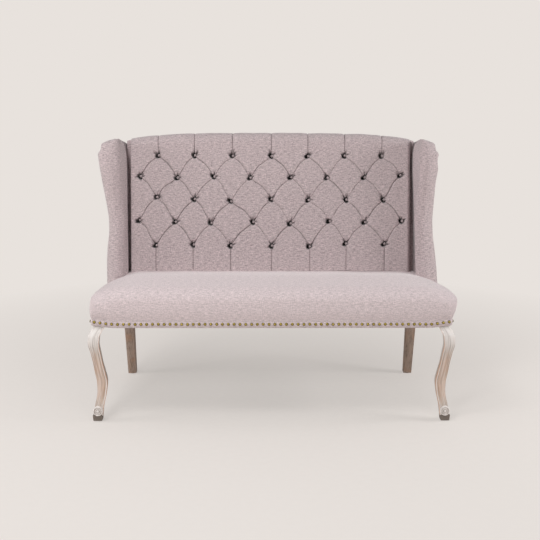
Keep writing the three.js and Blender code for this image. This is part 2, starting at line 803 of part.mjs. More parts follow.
// Height of the padding over the pits: buttons stand on a diagonal lattice, pleats join
// them, and the padding swells between the pleats
function paddingAt(x, z) {
  const lastColumn = widestRowCount - 1;
  const u = x / (buttonPitch / 2);
  const w = (z - firstButtonRow) / buttonRowPitch;
  const column = THREE.MathUtils.clamp(u, -lastColumn, lastColumn);
  const row = THREE.MathUtils.clamp(w, 0, buttonRowCount - 1);
  const rising = Math.abs(Math.sin((Math.PI * (column + row)) / 2));
  const falling = Math.abs(Math.sin((Math.PI * (column - row)) / 2));
  const pleat = pleatShare * Math.sqrt(Math.max(rising, falling));
  const swell = (1 - pleatShare) * Math.sqrt(rising * falling);
  const beyondRows = Math.min(1, 2 * Math.abs(w - row));
  const beyondColumns = THREE.MathUtils.smoothstep(Math.abs(u), lastColumn, lastColumn + sidePadEase);
  const height = Math.max(pleat + swell, pleatShare * Math.sqrt(beyondRows) * openPleatShare);
  return tuftDepth * THREE.MathUtils.lerp(height, sidePadShare, beyondColumns);
}

function sideDropAt(x) {
  const past = Math.max(0, Math.abs(x) - (backPadHalfWidth - sideRollWidth)) / sideRollWidth;
  return sideRollDepth * (1 - Math.sqrt(1 - Math.min(past, 1) ** 2));
}

function paddingFace(x, z) {
  return tuftDepth - paddingAt(x, z) + sideDropAt(x) * (paddingAt(x, z) / tuftDepth);
}

function cushionRows() {
  const rows = [];
  const rollSteps = 3;
  const lowCells = 3;
  for (let i = 0; i < lowCells; i += 1) {
    const z = THREE.MathUtils.lerp(-backPadTuck, firstButtonRow, i / lowCells);
    rows.push((x) => new THREE.Vector3(x, paddingFace(x, z), z));
  }
  const cells = (buttonRowCount - 1) * cellsPerStep;
  for (let i = 0; i <= cells; i += 1) {
    const z = firstButtonRow + (i * buttonRowPitch) / cellsPerStep;
    rows.push((x) => new THREE.Vector3(x, paddingFace(x, z), z));
  }
  for (let i = 0; i <= rollSteps; i += 1) {
    const angle = (Math.PI / 2) * (i / rollSteps);
    rows.push((x) => {
      const z = archAt(x) - backRollRadius * (1 - Math.sin(angle));
      const face = paddingFace(x, z);
      const scallop = face * Math.sin(angle) * scallopShare;
      return new THREE.Vector3(x, face + backRollRadius * (1 - Math.cos(angle)), z - scallop);
    });
  }
  return { rows, firstRow: lowCells };
}

function cushionColumns() {
  const columns = [-backPadHalfWidth];
  const steps = (widestRowCount - 1) * 2 * cellsPerStep;
  const start = -((widestRowCount - 1) * buttonPitch) / 2;
  for (let i = 0; i <= steps; i += 1) columns.push(start + (i * buttonPitch) / (2 * cellsPerStep));
  columns.push(backPadHalfWidth);
  return columns;
}

// Buttons stand on every other lattice point, in rows of seven and eight by turns
function isButton(i, j) {
  const column = i - 1;
  if (column % cellsPerStep !== 0 || j % cellsPerStep !== 0) return false;
  const row = j / cellsPerStep;
  const lastColumn = (widestRowCount - 1) * 2;
  const inside = column >= 0 && column / cellsPerStep <= lastColumn && row >= 0 && row < buttonRowCount;
  return inside && (column / cellsPerStep + row) % 2 === 1;
}

// A triangle with a button at its first corner gives way to a low round-edged stud
function buttonFan(pit, near, far) {
  const radius = buttonDiameter / 2;
  const rimTowards = (corner, rise) => {
    const way = new THREE.Vector3(corner.x - pit.x, 0, corner.z - pit.z).setLength(radius);
    return new THREE.Vector3(pit.x + way.x, pit.y - rise, pit.z + way.z);
  };
  const [lowNear, lowFar] = [rimTowards(near, 0), rimTowards(far, 0)];
  const [topNear, topFar] = [rimTowards(near, buttonWall), rimTowards(far, buttonWall)];
  const crown = new THREE.Vector3(pit.x, pit.y - buttonWall - buttonDome, pit.z);
  return [
    lowNear, near, far, lowNear, far, lowFar,
    topNear, lowNear, lowFar, topNear, lowFar, topFar,
    crown, topNear, topFar,
  ];
}

function tuftedCushion() {
  const { rows, firstRow } = cushionRows();
  const grid = rows.map((rowPoint) => cushionColumns().map(rowPoint));
  const corners = [];
  const width = grid[0].length;
  const addTriangle = (...places) => {
    const points = places.map(([i, j]) => grid[j][i]);
    const at = places.findIndex(([i, j]) => isButton(i, j - firstRow));
    if (at < 0) {
      corners.push(...points);
      return;
    }
    corners.push(...buttonFan(points[at], points[(at + 1) % 3], points[(at + 2) % 3]));
  };
  for (let j = 0; j + 1 < grid.length; j += 1) {
    for (let i = 0; i + 1 < width; i += 1) {
      const places = [[i, j], [i + 1, j], [i + 1, j + 1], [i, j + 1]];
      const leans = (i - 1 + j - firstRow + 2 * cellsPerStep) % 2 === (cellsPerStep % 2 === 0 ? 0 : 1);
      const [a, b, c, d] = leans ? places : [...places.slice(1), places[0]];
      addTriangle(a, b, c);
      addTriangle(a, c, d);
    }
  }
  const last = grid.length - 1;
  const edge = [
    ...grid[0].slice(0, -1),
    ...grid.slice(0, -1).map((row) => row[width - 1]),
    ...grid[last].slice(1).reverse(),
    ...grid.slice(1).map((row) => row[0]).reverse(),
  ];
  const rear = edge.map((point) => new THREE.Vector3(point.x, backRearDepth, point.z));
  edge.forEach((point, i) => {
    const next = (i + 1) % edge.length;
    corners.push(edge[next], point, rear[i], edge[next], rear[i], rear[next]);
  });
  const plan = rear.map((point) => new THREE.Vector2(point.x, point.z));
  for (const [a, b, c] of THREE.ShapeUtils.triangulateShape(plan, [])) {
    corners.push(rear[a], rear[c], rear[b]);
  }
  return new THREE.BufferGeometry().setFromPoints(corners);
}

function addBackCushion() {
  const frameSpace = prismY(
    archOutline(backPadHalfWidth + overrun, -backPadTuck - overrun, backLipThickness - clearance),
    backPadDepth, backRearDepth + overrun,
  );
  const seatSpace = seatSolid(-clearance, () => hemHeight).applyMatrix4(backFrameInverse);
  const cushion = cut(tuftedCushion(), frameSpace, seatSpace);
  addPiece('tufted_back_cushion', cushion, 'backFabric', back);
}

// Wings

const wingHeight = wingTopHeight - wingFootHeight;
const domeStart = wingTopHeight - wingDomeHeight;

function backPlaneY(depth, z) {
  return backSeatY + (depth + (z - backSeatZ) * Math.sin(recline)) / Math.cos(recline);
}

function wingFrontY(z) {
  return backPlaneY(0, z) - sizeAt(wingReachKeys, (z - wingFootHeight) / wingHeight);
}

function wingRing(z) {
  const rollSteps = 8;
  const share = (z - wingFootHeight) / wingHeight;
  const past = Math.max(0, z - domeStart) / wingDomeHeight;
  const dome = Math.sqrt(Math.max(0, 1 - past ** 2));
  const outer = THREE.MathUtils.lerp(wingTopX, seatRearHalfWidth + sizeAt(wingOuterKeys, share), dome);
  const innerX = seatRearHalfWidth + sizeAt(wingInnerKeys, share);
  const inner = THREE.MathUtils.lerp(wingTopX - wingRidgeWidth, innerX, dome);
  const panelOuter = THREE.MathUtils.lerp(wingTopX, wingPanelOuterX, dome);
  const panelInner = backPadHalfWidth + clearance;
  const front = wingFrontY(z) + wingFrontEasing * (1 - dome);
  const middle = (outer + inner) / 2;
  const half = (outer - inner) / 2;
  const ring = [];
  for (let step = 0; step <= rollSteps; step += 1) {
    const angle = Math.PI * (1 - step / rollSteps);
    const x = middle + half * Math.cos(angle);
    ring.push([x, front + wingRollDepth * (1 - Math.sin(angle))]);
  }
  const backFace = backPlaneY(0, z);
  const rear = backPlaneY(backRearDepth, z);
  ring.push([THREE.MathUtils.lerp(outer, panelOuter, wingBackFaceShare), backFace]);
  ring.push([Math.max(panelOuter, panelInner + wingRearWidth), rear]);
  ring.push([Math.min(panelInner, wingTopX - wingRearWidth / 2), rear]);
  ring.push([Math.min(panelInner, wingTopX - wingRearWidth / 2), backFace]);
  return ring.map(([x, y]) => {
    const fall = (wingTopFall * share ** 2 * (y - front)) / (rear - front);
    return new THREE.Vector3(x, y - fall * Math.tan(recline), z - fall);
  });
}

function wingForm() {
  const heightShares = [0, 0.07, 0.15, 0.25, 0.34, 0.43, 0.52, 0.62, 0.72, 0.81];
  const domeShares = [0, 0.4, 0.68, 0.88, 0.98];
  const straight = (domeStart - wingFootHeight) / wingDomeStartShare;
  const heights = heightShares.map((share) => wingFootHeight + share * straight);
  for (const share of domeShares) heights.push(domeStart + share * wingDomeHeight);
  return loft(heights.map(wingRing));
}

function wingBoardOutline(grow) {
  const steps = 7;
  const foot = railTop + clearance - grow;
  const top = wingTopHeight - wingBoardTopDrop;
  const points = [];
  for (let step = 0; step <= steps; step += 1) {
    const z = THREE.MathUtils.lerp(foot, top + grow, step / steps);
    const share = THREE.MathUtils.clamp(z, wingFootHeight, wingTopHeight);
    points.push(new THREE.Vector2(wingFrontY(share) + wingBoardSetback - grow, z));
  }
  const rear = backFrameFront - clearance + grow;
  points.push(new THREE.Vector2(backPlaneY(rear, top + grow), top + grow));
  points.push(new THREE.Vector2(backPlaneY(rear, foot), foot));
  return points.reverse();
}

function wingBoard(grow) {
  const outer = wingBoardInnerX + wingBoardThickness;
  return prismX(wingBoardOutline(grow), wingBoardInnerX - grow, outer + grow);
}

// Bolts that pass from the rear of each post into the rear edge of the wing board
function wingBolts() {
  const x = (wingBoardInnerX + postOuterX) / 2;
  return [0, 1].map((index) => {
    const height = wingBoltFootRise + index * wingBoltSpacingShare * backHeight;
    const place = (depth) => new THREE.Vector3(x, depth, height).applyMatrix4(backFrame);
    const seat = backRearDepth - wingBoltHeadHeight - clearance;
    const tip = seat - wingBoltLength;
    const head = rod(place(seat + wingBoltHeadHeight), place(seat), wingBoltHeadWidth, 12);
    const shank = rod(place(seat + wingBoltHeadHeight / 2), place(tip), wingBoltDiameter);
    const sink = rod(
      place(seat - clearance), place(backRearDepth + overrun), wingBoltHeadWidth + 2 * clearance, 12,
    );
    const hole = rod(place(seat), place(tip - clearance), wingBoltDiameter + 2 * clearance);
    return { bolt: join(head, shank), bore: join(sink, hole) };
  });
}

function addWings() {
  const bolts = wingBolts();
  const bores = bolts.map((bolt) => bolt.bore);
  addPair('wing_frame', cut(wingBoard(0), ...bores), 'frameWood');
  bolts.forEach(({ bolt }, index) => {
    addPair(`wing_bolt_${index === 0 ? 'lower' : 'upper'}`, bolt, 'steel');
  });
  const postSpace = boxBetween(
    postInnerX - overrun, postOuterX + clearance, backFrameFront - clearance,
    backRearDepth + overrun, -padPocketDrop, postTop + clearance,
  ).applyMatrix4(backFrame);
  const padSpace = boxBetween(
    0, backPadHalfWidth + clearance, padPocketDepth, backRearDepth + overrun,
    -padPocketDrop, backHeight + overrun,
  ).applyMatrix4(backFrame);
  const seatSpace = seatSolid(-clearance, () => hemHeight);
  const form = cut(wingForm(), postSpace, padSpace, wingBoard(clearance));
  addPiece('wing_upholstery_right', cut(form, seatSpace), 'backFabric');
  addPiece('wing_upholstery_left', cut(mirrored(form), seatSpace), 'backFabric');
}

// Seat upholstery

// The space that the back, its posts and the wing boards take out of the seat's top
function seatOpenings() {
  const wellX = postOuterX + clearance;
  const well = boxBetween(
    -wellX, wellX, postFrontY - clearance, seatDepth - coverThickness, railTop, seatCrownHeight + overrun,
  );
  return [well, wingBoard(clearance), mirrored(wingBoard(clearance))];
}

function addSeatUpholstery() {
  const hemAt = (x, y) => hemHeight + hemRiseAt(x, y);
  const outer = seatSolid(0, hemAt);
  const cavity = seatSolid(coverThickness, () => hemHeight - overrun);
  addPiece('seat_cover', cut(outer, cavity, ...seatOpenings()), 'seatFabric');
  const foamFoot = railTop + clearance + 2 * strapThickness - strapBite + clearance;
  const foamForm = seatSolid(coverThickness + clearance, () => hemHeight);
  const below = boxBetween(
    -seatFrontHalfWidth, seatFrontHalfWidth, -overrun, seatDepth, hemHeight - overrun, foamFoot,
  );
  const behind = boxBetween(
    -seatFrontHalfWidth, seatFrontHalfWidth, postFrontY - clearance, seatDepth,
    hemHeight, seatCrownHeight + overrun,
  );
  const foam = cut(foamForm, below, behind, wingBoard(clearance), mirrored(wingBoard(clearance)));
  addPiece('seat_foam', foam, 'foam');
}

function addWebbing() {
  const straps = [];
  const low = railTop + clearance;
  const frontEnd = railInset + strapEndInset;
  const rearEnd = postRearY - strapEndInset;
  const longPitch = (2 * postInnerX) / longStrapCount;
  for (let i = 0; i < longStrapCount; i += 1) {
    const x = (i - (longStrapCount - 1) / 2) * longPitch;
    const half = strapWidth / 2;
    straps.push(boxBetween(x - half, x + half, frontEnd, rearEnd, low, low + strapThickness));
  }
  const wingBoardFrontY = wingFrontY(wingFootHeight) + wingBoardSetback;
  const crossPitch = (wingBoardFrontY - railInset - strapWidth) / crossStrapCount;
  const crossLow = low + strapThickness - strapBite;
  for (let i = 1; i <= crossStrapCount; i += 1) {
    const y = railInset + i * crossPitch;
    const half = strapWidth / 2;
    const end = sideRailOuterX(y + half) - strapEndInset;
    straps.push(boxBetween(-end, end, y - half, y + half, crossLow, crossLow + strapThickness));
  }
  addPiece('seat_webbing', join(...straps), 'webbing');
}

function addDustCover() {
  const y0 = railInset + dustCoverMargin;
  const y1 = postRearY - dustCoverMargin;
  const frontX = legBlockInnerX - dustCoverMargin;
  const rearX = postInnerX - dustCoverPostGap;
  const legY = legBlockRearY + dustCoverMargin;
  const postY = postFrontY - dustCoverPostGap;
  const sideX = (y) => sideRailOuterX(y) - dustCoverMargin;
  const right = [[frontX, y0], [frontX, legY], [sideX(legY), legY], [sideX(postY), postY],
    [rearX, postY], [rearX, y1]];
  const left = right.map(([x, y]) => [-x, y]).reverse();
  const points = [...right, ...left].map(([x, y]) => new THREE.Vector2(x, y));
  const top = railFoot - clearance;
  addPiece('dust_cover', prismZ(points, top - dustCoverThickness, top), 'darkCloth');
}

// Nailed hem strips: a turned edge of cloth with a row of domed nails along it

function nailRow(length, riseAt) {
  const steps = 10;
  const half = length / 2;
  const low = [];
  const high = [];
  for (let i = 0; i <= steps; i += 1) {
    const x = THREE.MathUtils.lerp(-half, half, i / steps);
    low.push(new THREE.Vector2(x, riseAt(x)));
    high.unshift(new THREE.Vector2(x, riseAt(x) + nailStripHeight));
  }
  const strip = prismY([...low, ...high], -nailStripThickness, 0);
  const count = Math.floor((length - nailDiameter) / nailPitch) + 1;
  const nails = [];
  for (let i = 0; i < count; i += 1) {
    const x = (i - (count - 1) / 2) * nailPitch;
    const height = nailHeight + nailStripThickness / 2;
    const nail = new THREE.ConeGeometry(nailDiameter / 2, height, nailSides);
    const nailY = -(nailStripThickness + height) / 2;
    nails.push(nail.rotateX(Math.PI).translate(x, nailY, riseAt(x) + nailStripHeight / 2));
  }
  return join(strip, ...nails);
}

function addNails() {
  const faceInset = hemDrawIn - clearance;
  const flatX = seatFrontHalfWidth - hemDrawIn - hemCornerRadius - clearance;
  const front = nailRow(2 * flatX, (x) => hemRiseAt(x, 0));
  const strip = addPiece('nail_trim_front', front, 'brass');
  strip.position.set(0, faceInset, hemHeight + nailStripLift);
  const sideTurn = Math.atan2(seatFrontHalfWidth - seatRearHalfWidth, seatDepth);
  const sideLength = seatDepth / Math.cos(sideTurn) - 2 * (hemDrawIn + hemCornerRadius);
  const along = (t) => (sideLength / 2 + t) * Math.cos(sideTurn) + hemDrawIn + hemCornerRadius;
  const middleY = seatDepth / 2;
  const middleX = seatHalfWidthAt(middleY) - faceInset;
  for (const [side, sign] of [['right', 1], ['left', -1]]) {
    const rise = (t) => hemRiseAt(seatHalfWidthAt(along(sign * t)), along(sign * t));
    const trim = addPiece(`nail_trim_${side}`, nailRow(sideLength, rise), 'brass');
    trim.position.set(sign * middleX, middleY, hemHeight + nailStripLift);
    trim.rotation.z = sign * (Math.PI / 2 + sideTurn);
  }
}

addSeatFrame();
addFrontLegs();
addRearPosts();
addWebbing();
addDustCover();
addSeatUpholstery();
addBackFrame();
addBackCushion();
addWings();
addNails();

// The origin goes to the middle of the footprint, on the floor
const extent = new THREE.Box3().setFromObject(settee);
const centre = extent.getCenter(new THREE.Vector3());
settee.position.set(-centre.x, -centre.y, -extent.min.z);

const part = new THREE.Group();
part.add(settee);
export default part;
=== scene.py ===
import json
import math
from contextlib import contextmanager

import bmesh
import bpy
import numpy as np
from bpy.props import FloatProperty, FloatVectorProperty, IntProperty, PointerProperty
from mathutils import Matrix, Vector


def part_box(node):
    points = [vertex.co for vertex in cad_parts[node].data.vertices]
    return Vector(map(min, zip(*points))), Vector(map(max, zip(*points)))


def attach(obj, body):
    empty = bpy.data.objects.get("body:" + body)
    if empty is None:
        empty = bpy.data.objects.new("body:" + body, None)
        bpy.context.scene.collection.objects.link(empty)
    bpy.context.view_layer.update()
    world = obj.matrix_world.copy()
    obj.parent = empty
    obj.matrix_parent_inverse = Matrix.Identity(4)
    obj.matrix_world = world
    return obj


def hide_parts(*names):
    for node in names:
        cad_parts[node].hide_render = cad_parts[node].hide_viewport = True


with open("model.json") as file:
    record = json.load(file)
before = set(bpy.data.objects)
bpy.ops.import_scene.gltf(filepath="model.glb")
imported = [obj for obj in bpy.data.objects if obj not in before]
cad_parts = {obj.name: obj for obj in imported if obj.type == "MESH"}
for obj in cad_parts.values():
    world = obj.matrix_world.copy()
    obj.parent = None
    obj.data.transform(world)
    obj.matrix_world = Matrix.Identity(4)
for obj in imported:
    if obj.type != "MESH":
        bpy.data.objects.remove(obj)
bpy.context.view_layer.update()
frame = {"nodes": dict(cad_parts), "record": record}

bl_info = {
    "name": "High back settee",
    "version": (1, 0, 0),
    "blender": (4, 5, 0),
    "location": "3D View > Sidebar > Settee",
    "description": "Dresses the packed model of a buttoned high back settee",
    "category": "Object",
}

MM = 0.001
FRONT_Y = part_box("seat_cover")[0].y
BODY = "root"

# The seat's form, as the model has it
SEAT_FRONT_HALF = 0.655
SEAT_REAR_HALF = 0.628
SEAT_DEPTH = 0.586
HEM_HEIGHT = 0.356
HEM_CORNER_RISE = 0.009
HEM_RISE_RUN = 0.09
HEM_DRAW_IN = 0.004
HEM_BAND_HEIGHT = 0.026
SEAT_FRONT_HEIGHT = 0.497
SEAT_CROWN_HEIGHT = 0.508
SEAT_REAR_HEIGHT = 0.472
SEAT_CROWN_SHARE = 0.4
RAIL_TOP = 0.44
SEAT_SIDE_FALL = 0.046
SEAT_SIDE_ROLL = 0.016
SEAT_WEBBING_TOP = 0.443
COVER_THICKNESS = 0.005
FIT_GAP = 0.3 * MM

# How the padding has settled towards the seat's sides: shares of the half width, places behind the front
SIDE_FALL_START = 0.82
SIDE_FALL_RUN = 0.18
SIDE_FALL_POWER = 1.6
SIDE_FALL_AT_FRONT = 0.45
SIDE_FALL_GAIN = 0.55
SIDE_FALL_GAIN_END = 0.25
SIDE_FALL_REAR_LOSS = 0.5
SIDE_FALL_REAR = (0.36, 0.46)

# The reclined back, in its own tilted frame
BACK_FOOT_Y = 0.47
BACK_FOOT_Z = 0.472
RECLINE = math.radians(9.3)
BACK_HEIGHT = 0.564
ARCH_HALF_WIDTH = 0.64
ARCH_FALL = 0.083
ARCH_POWER = 3.2
PAD_HALF_WIDTH = 0.588
PAD_REAR_DEPTH = 0.0694
BACK_REAR_DEPTH = 0.107
BACK_ROLL_RADIUS = 0.042
BACK_LIP_THICKNESS = 0.028
POST_OUTER_X = 0.616
SIDE_DROP = 0.060
SIDE_DROP_START = (0.5625, 0.5530)
SIDE_DROP_END = (0.5685, 0.5710)
BACK_FRAME = Matrix.Translation((0, FRONT_Y + BACK_FOOT_Y, BACK_FOOT_Z)) @ Matrix.Rotation(-RECLINE, 4, "X")

# Buttoning, in the tilted frame
BUTTON_PITCH = 0.15
BUTTON_ROW_PITCH = 0.0915
FIRST_BUTTON_ROW = 0.107
BUTTON_ROWS = (7, 8, 7, 8, 7)
TOP_BUTTON_ROW = FIRST_BUTTON_ROW + (len(BUTTON_ROWS) - 1) * BUTTON_ROW_PITCH
PIT_SHIFT = (-2.4 * MM, -1.6 * MM)
# How far each button sits from its even place, across and up in millimetres, from the lowest row
BUTTON_DRIFT = (
    ((-15, -2), (-14, 0), (-12, -4), (4, -4), (9, -6), (7, 6), (13, 4)),
    ((-8, 9), (-11, 1), (-16, -3), (4, 1), (5, -5), (15, 5), (9, 1), (8, 6)),
    ((-11, 10), (-9, 2), (-11, -6), (4, 2), (5, -1), (8, 0), (9, 1)),
    ((-3, 3), (-2, -2), (-4, 2), (-7, -2), (8, 0), (5, -2), (6, 0), (3, 9)),
    ((-4, -4), (-8, -4), (-4, -6), (3, -6), (1, -6), (0, -5), (1, -6)),
)
DRIFT_REACH = 34 * MM
DRIFT_FADE = (0.535, 0.56)

# Pleats between the buttons; the chances are those of each strength
PLEAT_STRENGTHS = (0.65, 0.85, 1.05, 1.3)
PLEAT_CHANCES = (0.2, 0.25, 0.3, 0.25)
PLEATS_ABOVE = (0.85, 1.1)
PLEATS_BELOW = (0.7, 0.95)
EDGE_PLEAT_FALL = 6 * MM
PLEAT_WIDTHS = (0.9 * MM, 1.5 * MM)
PLEAT_FADE = (3 * MM, 12 * MM)
# How far beside a pleat the padding sinks, and how much further off a weak pleat counts, in millimetres
PUFF_REACH = 15 * MM
PUFF_LOSS = 12

# Pits round the buttons, and the wrinkles pulled out from them; lengths and depths in millimetres
PIT_UNEVEN = (0.16, 0.12)
PIT_DEPTHS = (0.85, 1.15)
PIT_STEEPNESS = 6
SLOPE_DEPTH = 6 * MM
SLOPE_REACH = 10 * MM
PULL_COUNTS = (4, 7)
PULL_TURNS = (-0.3, math.pi + 0.7)
PULL_LENGTHS = (19, 30)
PULL_DEPTHS = (10, 19)
PULL_START = (4 * MM, 7 * MM)
PULL_FADE = 11 * MM
PULL_WIDTH = 1.9 * MM
# Depth of a pit or wrinkle at which the shade painted into it is full, and the share of painted shade along a
# pleat
CREASE_SHADE_DEPTH = 14 * MM
PLEAT_CREASE_SHADE = 0.32
RIPPLE = 0.45 * MM
RIPPLE_PITCH = 0.09


# Numbers and arrays

def srgb(red, green, blue):
    """A colour as it shows on screen, from 0 to 255 each, turned into linear light."""
    shares = [level / 255 for level in (red, green, blue)]
    return tuple(s / 12.92 if s <= 0.04045 else ((s + 0.055) / 1.055) ** 2.4 for s in shares)


def smoothstep(low, high, value):
    share = np.clip((np.asarray(value, float) - low) / (high - low), 0.0, 1.0)
    return share * share * (3.0 - 2.0 * share)


def eased(keys, share):
    """A size read from keys of (share, size), easing from each key to the next."""
    share = np.asarray(share, float)
    size = np.full(share.shape, float(keys[0][1]))
    for (start, low), (end, high) in zip(keys, keys[1:]):
        size = np.where(share >= start, low + (high - low) * smoothstep(start, end, share), size)
    return size


def softened(keys, place, reach):
    """A size read from keys of (place, size), with its corners rounded over a reach each way."""
    near = place + np.linspace(-reach, reach, 9)
    return float(np.mean(np.interp(near, *zip(*keys))))


def ripples(x, y, wavelength, seed, count=6):
    """Soft seeded undulations of about -1 to 1, the same on every run."""
    rng = np.random.default_rng(seed)
    total = np.zeros(np.broadcast(x, y).shape)
    for _ in range(count):
        angle, phase = rng.uniform(0, 2 * math.pi, 2)
        pitch = wavelength * rng.uniform(0.7, 1.5)
        total += np.sin((x * math.cos(angle) + y * math.sin(angle)) * 2 * math.pi / pitch + phase)
    return total / math.sqrt(count)


def stacked(*values):
    """Columns of numbers side by side; a single number fills its whole column."""
    return np.stack(np.broadcast_arrays(*values), axis=-1)


def run_along(path):
    """How far each point of a flat path lies from its start, along the path."""
    return np.concatenate([[0], np.cumsum(np.hypot(*np.diff(path, axis=0).T))])


def placed(points, matrix):
    turned = points @ np.array(matrix.to_3x3()).T
    return turned + np.array(matrix.translation)


def through(points, count):
    """Points of a centripetal curve through given points, as many as asked for."""
    points = [np.asarray(point, float) for point in points]
    points = [2 * points[0] - points[1], *points, 2 * points[-1] - points[-2]]
    result = []
    for place in np.linspace(0, len(points) - 3, count):
        index = min(int(place), len(points) - 4)
        t = place - index
        p0, p1, p2, p3 = points[index:index + 4]
        d0, d1, d2 = (max(np.sum((b - a) ** 2) ** 0.25, 1e-4) for a, b in ((p0, p1), (p1, p2), (p2, p3)))
        start = ((p1 - p0) / d0 - (p2 - p0) / (d0 + d1) + (p2 - p1) / d1) * d1
        end = ((p2 - p1) / d1 - (p3 - p1) / (d1 + d2) + (p3 - p2) / d2) * d1
        result.append(
            p1 + start * t + (-3 * p1 + 3 * p2 - 2 * start - end) * t ** 2
            + (2 * p1 - 2 * p2 + start + end) * t ** 3
        )
    return np.array(result)


# Meshes

def skin(name, points, weave):
    """A quad skin over rows of points, with the cloth's or grain's own coordinates in metres."""
    rows, columns = points.shape[:2]
    index = np.arange(rows * columns).reshape(rows, columns)
    corners = [index[:-1, :-1], index[:-1, 1:], index[1:, 1:], index[1:, :-1]]
    quads = np.stack(corners, axis=-1).reshape(-1, 4)
    mesh = bpy.data.meshes.new(name)
    mesh.from_pydata(points.reshape(-1, 3).tolist(), [], quads.tolist())
    layer = mesh.uv_layers.new(name="weave")
    layer.data.foreach_set("uv", weave.reshape(-1, 2)[quads.reshape(-1)].reshape(-1))
    return mesh


def vertex_values(mesh, **layers):
    """Stores a number for each vertex under each name; a single number counts for all of them."""
    for name, values in layers.items():
        layer = mesh.attributes.new(name, "FLOAT", "POINT")
        values = np.asarray(values, np.float32).reshape(-1)
        layer.data.foreach_set("value", np.resize(values, len(mesh.vertices)))


@contextmanager
def edited(mesh):
    """The mesh in a form whose faces can be changed, written back at the end."""
    shape = bmesh.new()
    shape.from_mesh(mesh)
    yield shape
    shape.to_mesh(mesh)
    shape.free()


def smoothed(mesh):
    mesh.polygons.foreach_set("use_smooth", [True] * len(mesh.polygons))
    return mesh


def welded(mesh, distance=0.02 * MM, capped=True):
    """Welds the seams, closes what is still open at the ends, and turns the faces outwards."""
    with edited(mesh) as shape:
        bmesh.ops.remove_doubles(shape, verts=shape.verts, dist=distance)
        bmesh.ops.dissolve_degenerate(shape, edges=shape.edges, dist=distance / 2)
        if capped:
            bmesh.ops.holes_fill(shape, edges=[e for e in shape.edges if e.is_boundary], sides=0)
        bmesh.ops.recalc_face_normals(shape, faces=shape.faces)
    return smoothed(mesh)


def joined(name, meshes):
    """One mesh of several, each of which keeps its own coordinates and values."""
    shape = bmesh.new()
    for mesh in meshes:
        shape.from_mesh(mesh)
    whole = bpy.data.meshes.new(name)
    shape.to_mesh(whole)
    shape.free()
    for mesh in meshes:
        bpy.data.meshes.remove(mesh)
    return whole


def mirrored(mesh):
    copy = mesh.copy()
    copy.transform(Matrix.Scale(-1, 4, (1, 0, 0)))
    copy.flip_normals()
    return copy


def linked(name, mesh):
    piece = bpy.data.objects.new(name, mesh)
    bpy.context.scene.collection.objects.link(piece)
    return piece


def with_modifier(piece, kind, **settings):
    """Runs one modifier on a piece and keeps its result as the piece's mesh."""
    modifier = piece.modifiers.new(kind.title(), kind)
    for key, value in settings.items():
        setattr(modifier, key, value)
    settle(piece)


def settle(piece):
    """Turns a piece's modifiers into its mesh and takes them off."""
    graph = bpy.context.evaluated_depsgraph_get()
    graph.update()
    result = bpy.data.meshes.new_from_object(
        piece.evaluated_get(graph), preserve_all_data_layers=True, depsgraph=graph,
    )
    old = piece.data
    piece.modifiers.clear()
    piece.data = result
    if old.users == 0:
        bpy.data.meshes.remove(old)


def painted(mesh, material):
    mesh.materials.clear()
    mesh.materials.append(material)


def declared(piece, nodes=(), material=None):
    """Gives a finished piece its material, hides the model's nodes that it stands for, and attaches it to its
    body.
    """
    if material is not None:
        painted(piece.data, material)
    if nodes:
        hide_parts(*nodes)
    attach(piece, BODY)


# Materials

class Nodes:
    """Builds a node tree, one short call for each node."""

    def __init__(self, tree):
        self.tree = tree

    def add(self, kind, *inputs, **settings):
        made = self.tree.nodes.new(kind)
        for key, value in settings.items():
            setattr(made, key, value)
        for socket, value in zip(made.inputs, inputs):
            self.feed(socket, value)
        return made

    def node(self, kind, *inputs, **settings):
        return self.add("ShaderNode" + kind, *inputs, **settings)

    def feed(self, socket, value):
        """Links a socket to another one, or sets it to a value."""
        if value is None:
            return
        if isinstance(value, bpy.types.NodeSocket):
            self.tree.links.new(value, socket)
        else:
            socket.default_value = value

    def named(self, made, **inputs):
        for key, value in inputs.items():
            self.feed(made.inputs[key.replace("_", " ")], value)
        return made

    def maths(self, operation, *inputs):
        return self.node("Math", *inputs, operation=operation).outputs["Value"]

    def seen(self):
        """Is 1 where the camera looks straight or by a reflection; also gives the ray's outputs."""
        ray = self.node("LightPath").outputs
        return self.maths("MAXIMUM", ray["Is Camera Ray"], ray["Is Glossy Ray"]), ray


class Shading(Nodes):
    """A material's node tree, with the steps that most materials share."""

    def __init__(self, name):
        self.material = bpy.data.materials.new(name)
        self.material.use_nodes = True
        super().__init__(self.material.node_tree)
        self.surface = self.tree.nodes["Principled BSDF"]

    def place(self, coordinates, scale, turn=(0, 0, 0)):
        made = self.node("Mapping")
        return self.named(made, Vector=coordinates, Scale=scale, Rotation=turn).outputs["Vector"]

    def weave(self):
        return self.node("UVMap", uv_map="weave").outputs["UV"]

    def solid(self):
        return self.node("TexCoord").outputs["Object"]

    def value(self, name):
        return self.node("Attribute", attribute_name=name).outputs["Fac"]

    def noise(self, vector, scale=1.0, detail=2.0, roughness=0.5):
        made = self.node("TexNoise")
        return self.named(made, Vector=vector, Scale=scale, Detail=detail, Roughness=roughness).outputs["Fac"]

    def levels(self, value, low, high, to_low=0.0, to_high=1.0):
        return self.node("MapRange", value, low, high, to_low, to_high).outputs["Result"]

    def mix(self, factor, first, second, blend="MIX"):
        made = self.node("Mix", data_type="RGBA", blend_type=blend)
        colours = [s for s in made.inputs if s.type == "RGBA"]
        self.feed(made.inputs["Factor"], factor)
        for socket, value in zip(colours, (first, second)):
            self.feed(socket, (*value, 1.0) if isinstance(value, tuple) else value)
        return next(s for s in made.outputs if s.type == "RGBA")

    def bump(self, height, distance, strength):
        made = self.named(self.node("Bump"), Height=height, Distance=distance, Strength=strength)
        return made.outputs["Normal"]

    def done(self, **inputs):
        self.named(self.surface, **inputs)
        return self.material


def scaled(colour, share):
    return tuple(level * share for level in colour)


